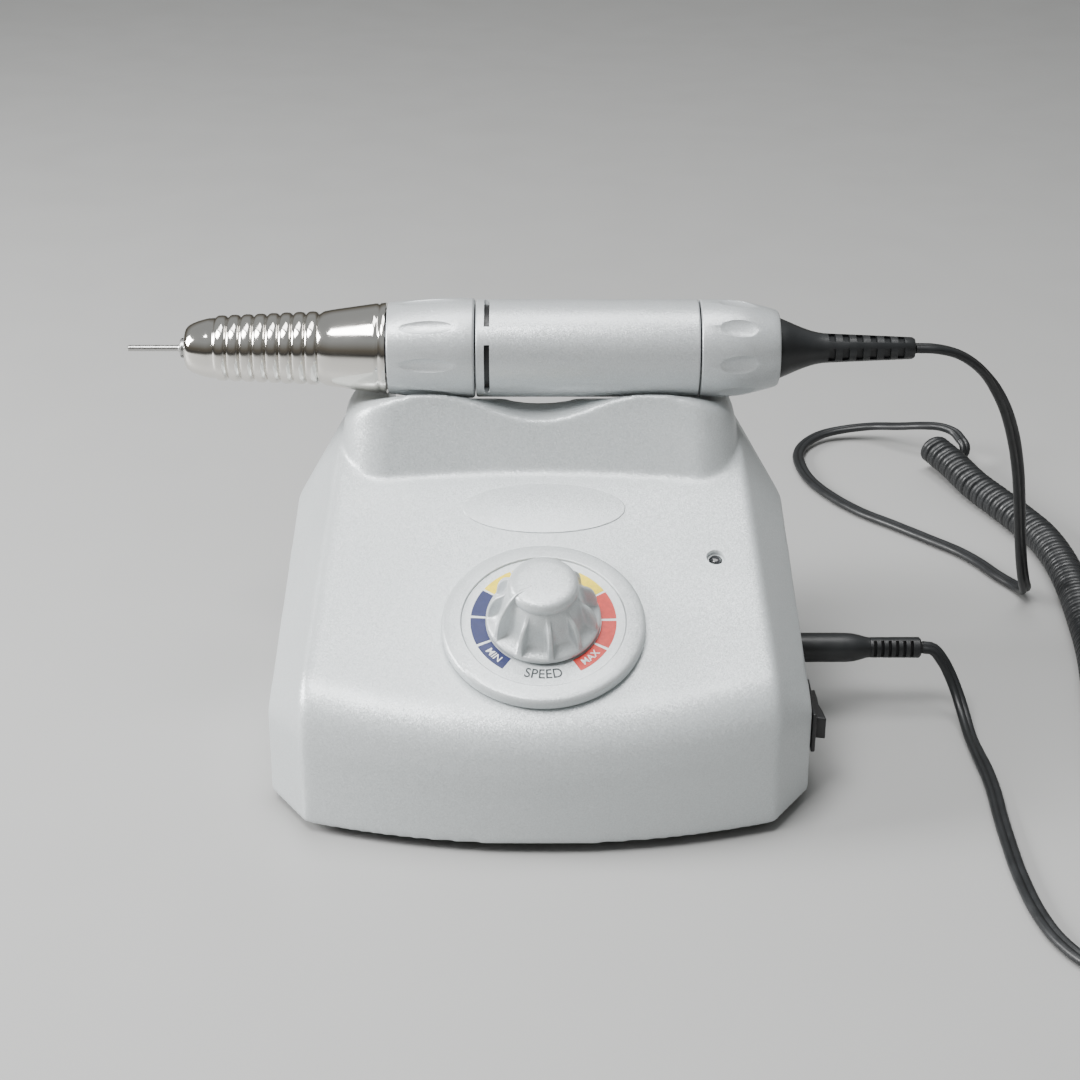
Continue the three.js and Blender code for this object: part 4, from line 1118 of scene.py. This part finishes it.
def strain_relief():
    outline = [
        (60, 0), (60, 9.9), (62.3, 9.9), (62.3, 8.4), (66.3, 8.4), (68.6, 7.45), (71, 6.4), (73, 5.6),
        (75, 4.9), (77, 4.4), (78.6, 4.15), (80.2, 4.05), (103.2, 3.05), (103.9, 2.6), (103.9, 0),
    ]
    boot = turned("relief_boot", "x", outline, "cord_rubber", ON_AXIS)
    windows = []
    for k in range(WINDOW_COUNT):
        x = WINDOW_FIRST + WINDOW_PITCH * k
        depth = WINDOW_FLOOR - 0.12 * k
        half = WINDOW_HALF - 0.08 * k
        for quarter in range(4):
            place = about_axis(90 * quarter + WINDOW_TURN)
            windows.append(block((x, depth, -half), (x + WINDOW_WIDTH, 6, half), place))
    cut(boot, *windows)
    redressed(boot, "handpiece", "cord_rubber", "strain_relief")


def slit_collet():
    outline = [
        (-99.7, 1.5), (-99.7, 2.5), (-99.4, 2.8), (-97.9, 2.8), (-97.6, 2.5),
        (-97.2, 2.3), (-74, 2.3), (-74, 0.4), (-76.5, 0.4), (-76.5, 1.5),
    ]
    collet = turned("collet_nose", "x", outline, "steel", ON_AXIS, 64, 0.1)
    slits = [block((-101, -0.25, 0), (-84, 0.25, 4), about_axis(turn)) for turn in (0, 120, 240)]
    cut(collet, *slits)
    redressed(collet, "spindle_assembly", "steel", "collet")


def pin_and_spindle():
    pin_outline = [
        (-114.4, 0), (-114.4, 0.6), (-114.15, 0.85), (-100.5, 0.85), (-100, 1.17), (-78, 1.17), (-78, 0),
    ]
    pin = turned("steel_pin", "x", pin_outline, "steel", ON_AXIS, 48, 0.1)
    rides(pin, "bit", "steel", "bit_shank")
    outline = [(-96.8, 2.65), (-96.8, 3.4), (-26, 3.4), (-26, 0.6), (-73.5, 0.6), (-73.5, 2.65)]
    spindle = turned("spindle_body", "x", outline, "steel", ON_AXIS, 64, 0.2)
    rides(spindle, "spindle_assembly", "steel", "spindle")


# ---------- jack plug ----------
SLOT_FIRST, SLOT_PITCH, SLOT_WIDTH, SLOT_COUNT, SLOT_TURN = 93.6, 2.05, 0.9, 6, -16


def plug_grip():
    outline = [
        (69.9, 0), (69.9, 3.8), (70.3, 4.15), (84, 4.15), (86.2, 4.12), (87.8, 3.98), (89.2, 3.7),
        (90.4, 3.35), (91.4, 3.05), (92.2, 2.9), (92.7, 2.85), (92.7, 0),
    ]
    grip = turned("plug_grip_body", "x", outline, "cord_rubber", AT_JACK)
    return rides(grip, "jack_plug", "cord_rubber", "plug_grip")


def plug_boot():
    outline = [(92.8, 0), (92.8, 2.85), (93.2, 2.9), (106.5, 2.95), (107, 2.5), (107, 0)]
    boot = turned("plug_boot_body", "x", outline, "cord_rubber", AT_JACK)
    slots = []
    for k in range(SLOT_COUNT):
        x = SLOT_FIRST + SLOT_PITCH * k
        for side in (0, 180):
            place = AT_JACK @ Matrix.Rotation(math.radians(side + SLOT_TURN), 4, "X")
            slots.append(block((x, 1.2, -2.3), (x + SLOT_WIDTH, 4, 2.3), place))
    cut(boot, *slots)
    return redressed(boot, "jack_plug", "cord_rubber", "plug_boot")


def plug_pin():
    outline = [
        (55.4, 0), (55.5, 0.55), (56.2, 1.2), (57.2, 1.75), (58, 1.2), (58.8, 1.75), (62.2, 1.75),
        (62.25, 1.62), (62.95, 1.62), (63, 1.75), (69.6, 1.75), (69.6, 0),
    ]
    pin = turned("plug_contact", "x", outline, "steel", AT_JACK, 64)
    return rides(pin, "jack_plug", "steel", "plug_pin")


housing()
feet_and_screws()
rocker_switch()
mains_inlet()
indicator()
dial()
legend("MIN", 221.8, 16.85, 1.9, 1.0, WHITE_INK, LABEL_TOP + INK)
legend("MAX", -45.5, 16.85, 1.9, 0.92, WHITE_INK, LABEL_TOP + INK)
legend("SPEED", 270, 17.3, 2.9, 0.86, DARK_INK, LABEL_TOP)
speed_knob()
twist_collar()
front_housing()
vented_barrel()
rear_cap()
strain_relief()
slit_collet()
pin_and_spindle()
plug_pieces = [plug_grip(), plug_boot(), plug_pin()]


# ---------- stage: plain pale floor and soft studio light ----------
FLOOR_HALF = 4
# Colours of the sky, each with the height where it is reached: 0 is the horizon and 1 straight up.
SKY = [(0, (0.16, 0.155, 0.15)), (0.22, (0.33, 0.30, 0.25)), (0.6, (0.86, 0.89, 0.90))]
SKY_STRENGTH = 0.46
# Name, place and width in metres and power in watts of each square lamp. All are aimed at one spot.
LAMPS = [
    ("key", (-0.3, -0.3, 1.0), 0.4, 11.5),
    ("side", (-0.9, -0.05, 0.5), 0.4, 18),
    ("top", (0.05, 0.12, 1.1), 0.5, 6.5),
]
LAMP_TARGET = Vector((0, 0, 0.05))


def add_floor():
    corners = [(x * FLOOR_HALF, y * FLOOR_HALF, 0) for x, y in ((-1, -1), (1, -1), (1, 1), (-1, 1))]
    mesh = bpy.data.meshes.new("floor")
    mesh.from_pydata(corners, [], [(0, 1, 2, 3)])
    floor = bpy.data.objects.new("floor", mesh)
    bpy.context.scene.collection.objects.link(floor)
    look = Shading("floor", (0.38, 0.38, 0.375), 0.45)
    look.roughen(look.noise(30, 4), 0.4, 0.5)
    mesh.materials.append(look.material)


def add_sky():
    world = bpy.data.worlds.new("world")
    bpy.context.scene.world = world
    world.use_nodes = True
    nodes = world.node_tree.nodes
    links = world.node_tree.links
    direction = nodes.new("ShaderNodeTexCoord")
    split = nodes.new("ShaderNodeSeparateXYZ")
    ramp = nodes.new("ShaderNodeValToRGB")
    links.new(direction.outputs["Generated"], split.inputs[0])
    links.new(split.outputs["Z"], ramp.inputs[0])
    links.new(ramp.outputs["Color"], nodes["Background"].inputs["Color"])
    nodes["Background"].inputs["Strength"].default_value = SKY_STRENGTH
    colors = ramp.color_ramp.elements
    colors[-1].position = SKY[-1][0]
    colors.new(SKY[1][0])
    for element, (_, color) in zip(colors, SKY):
        element.color = (*color, 1)


def add_lamps():
    for name, place, size, power in LAMPS:
        lamp = bpy.data.objects.new(name, bpy.data.lights.new(name, "AREA"))
        lamp.data.size = size
        lamp.data.energy = power
        lamp.location = place
        lamp.rotation_euler = (LAMP_TARGET - Vector(place)).to_track_quat("-Z", "Y").to_euler()
        bpy.context.scene.collection.objects.link(lamp)


add_floor()
add_sky()
add_lamps()
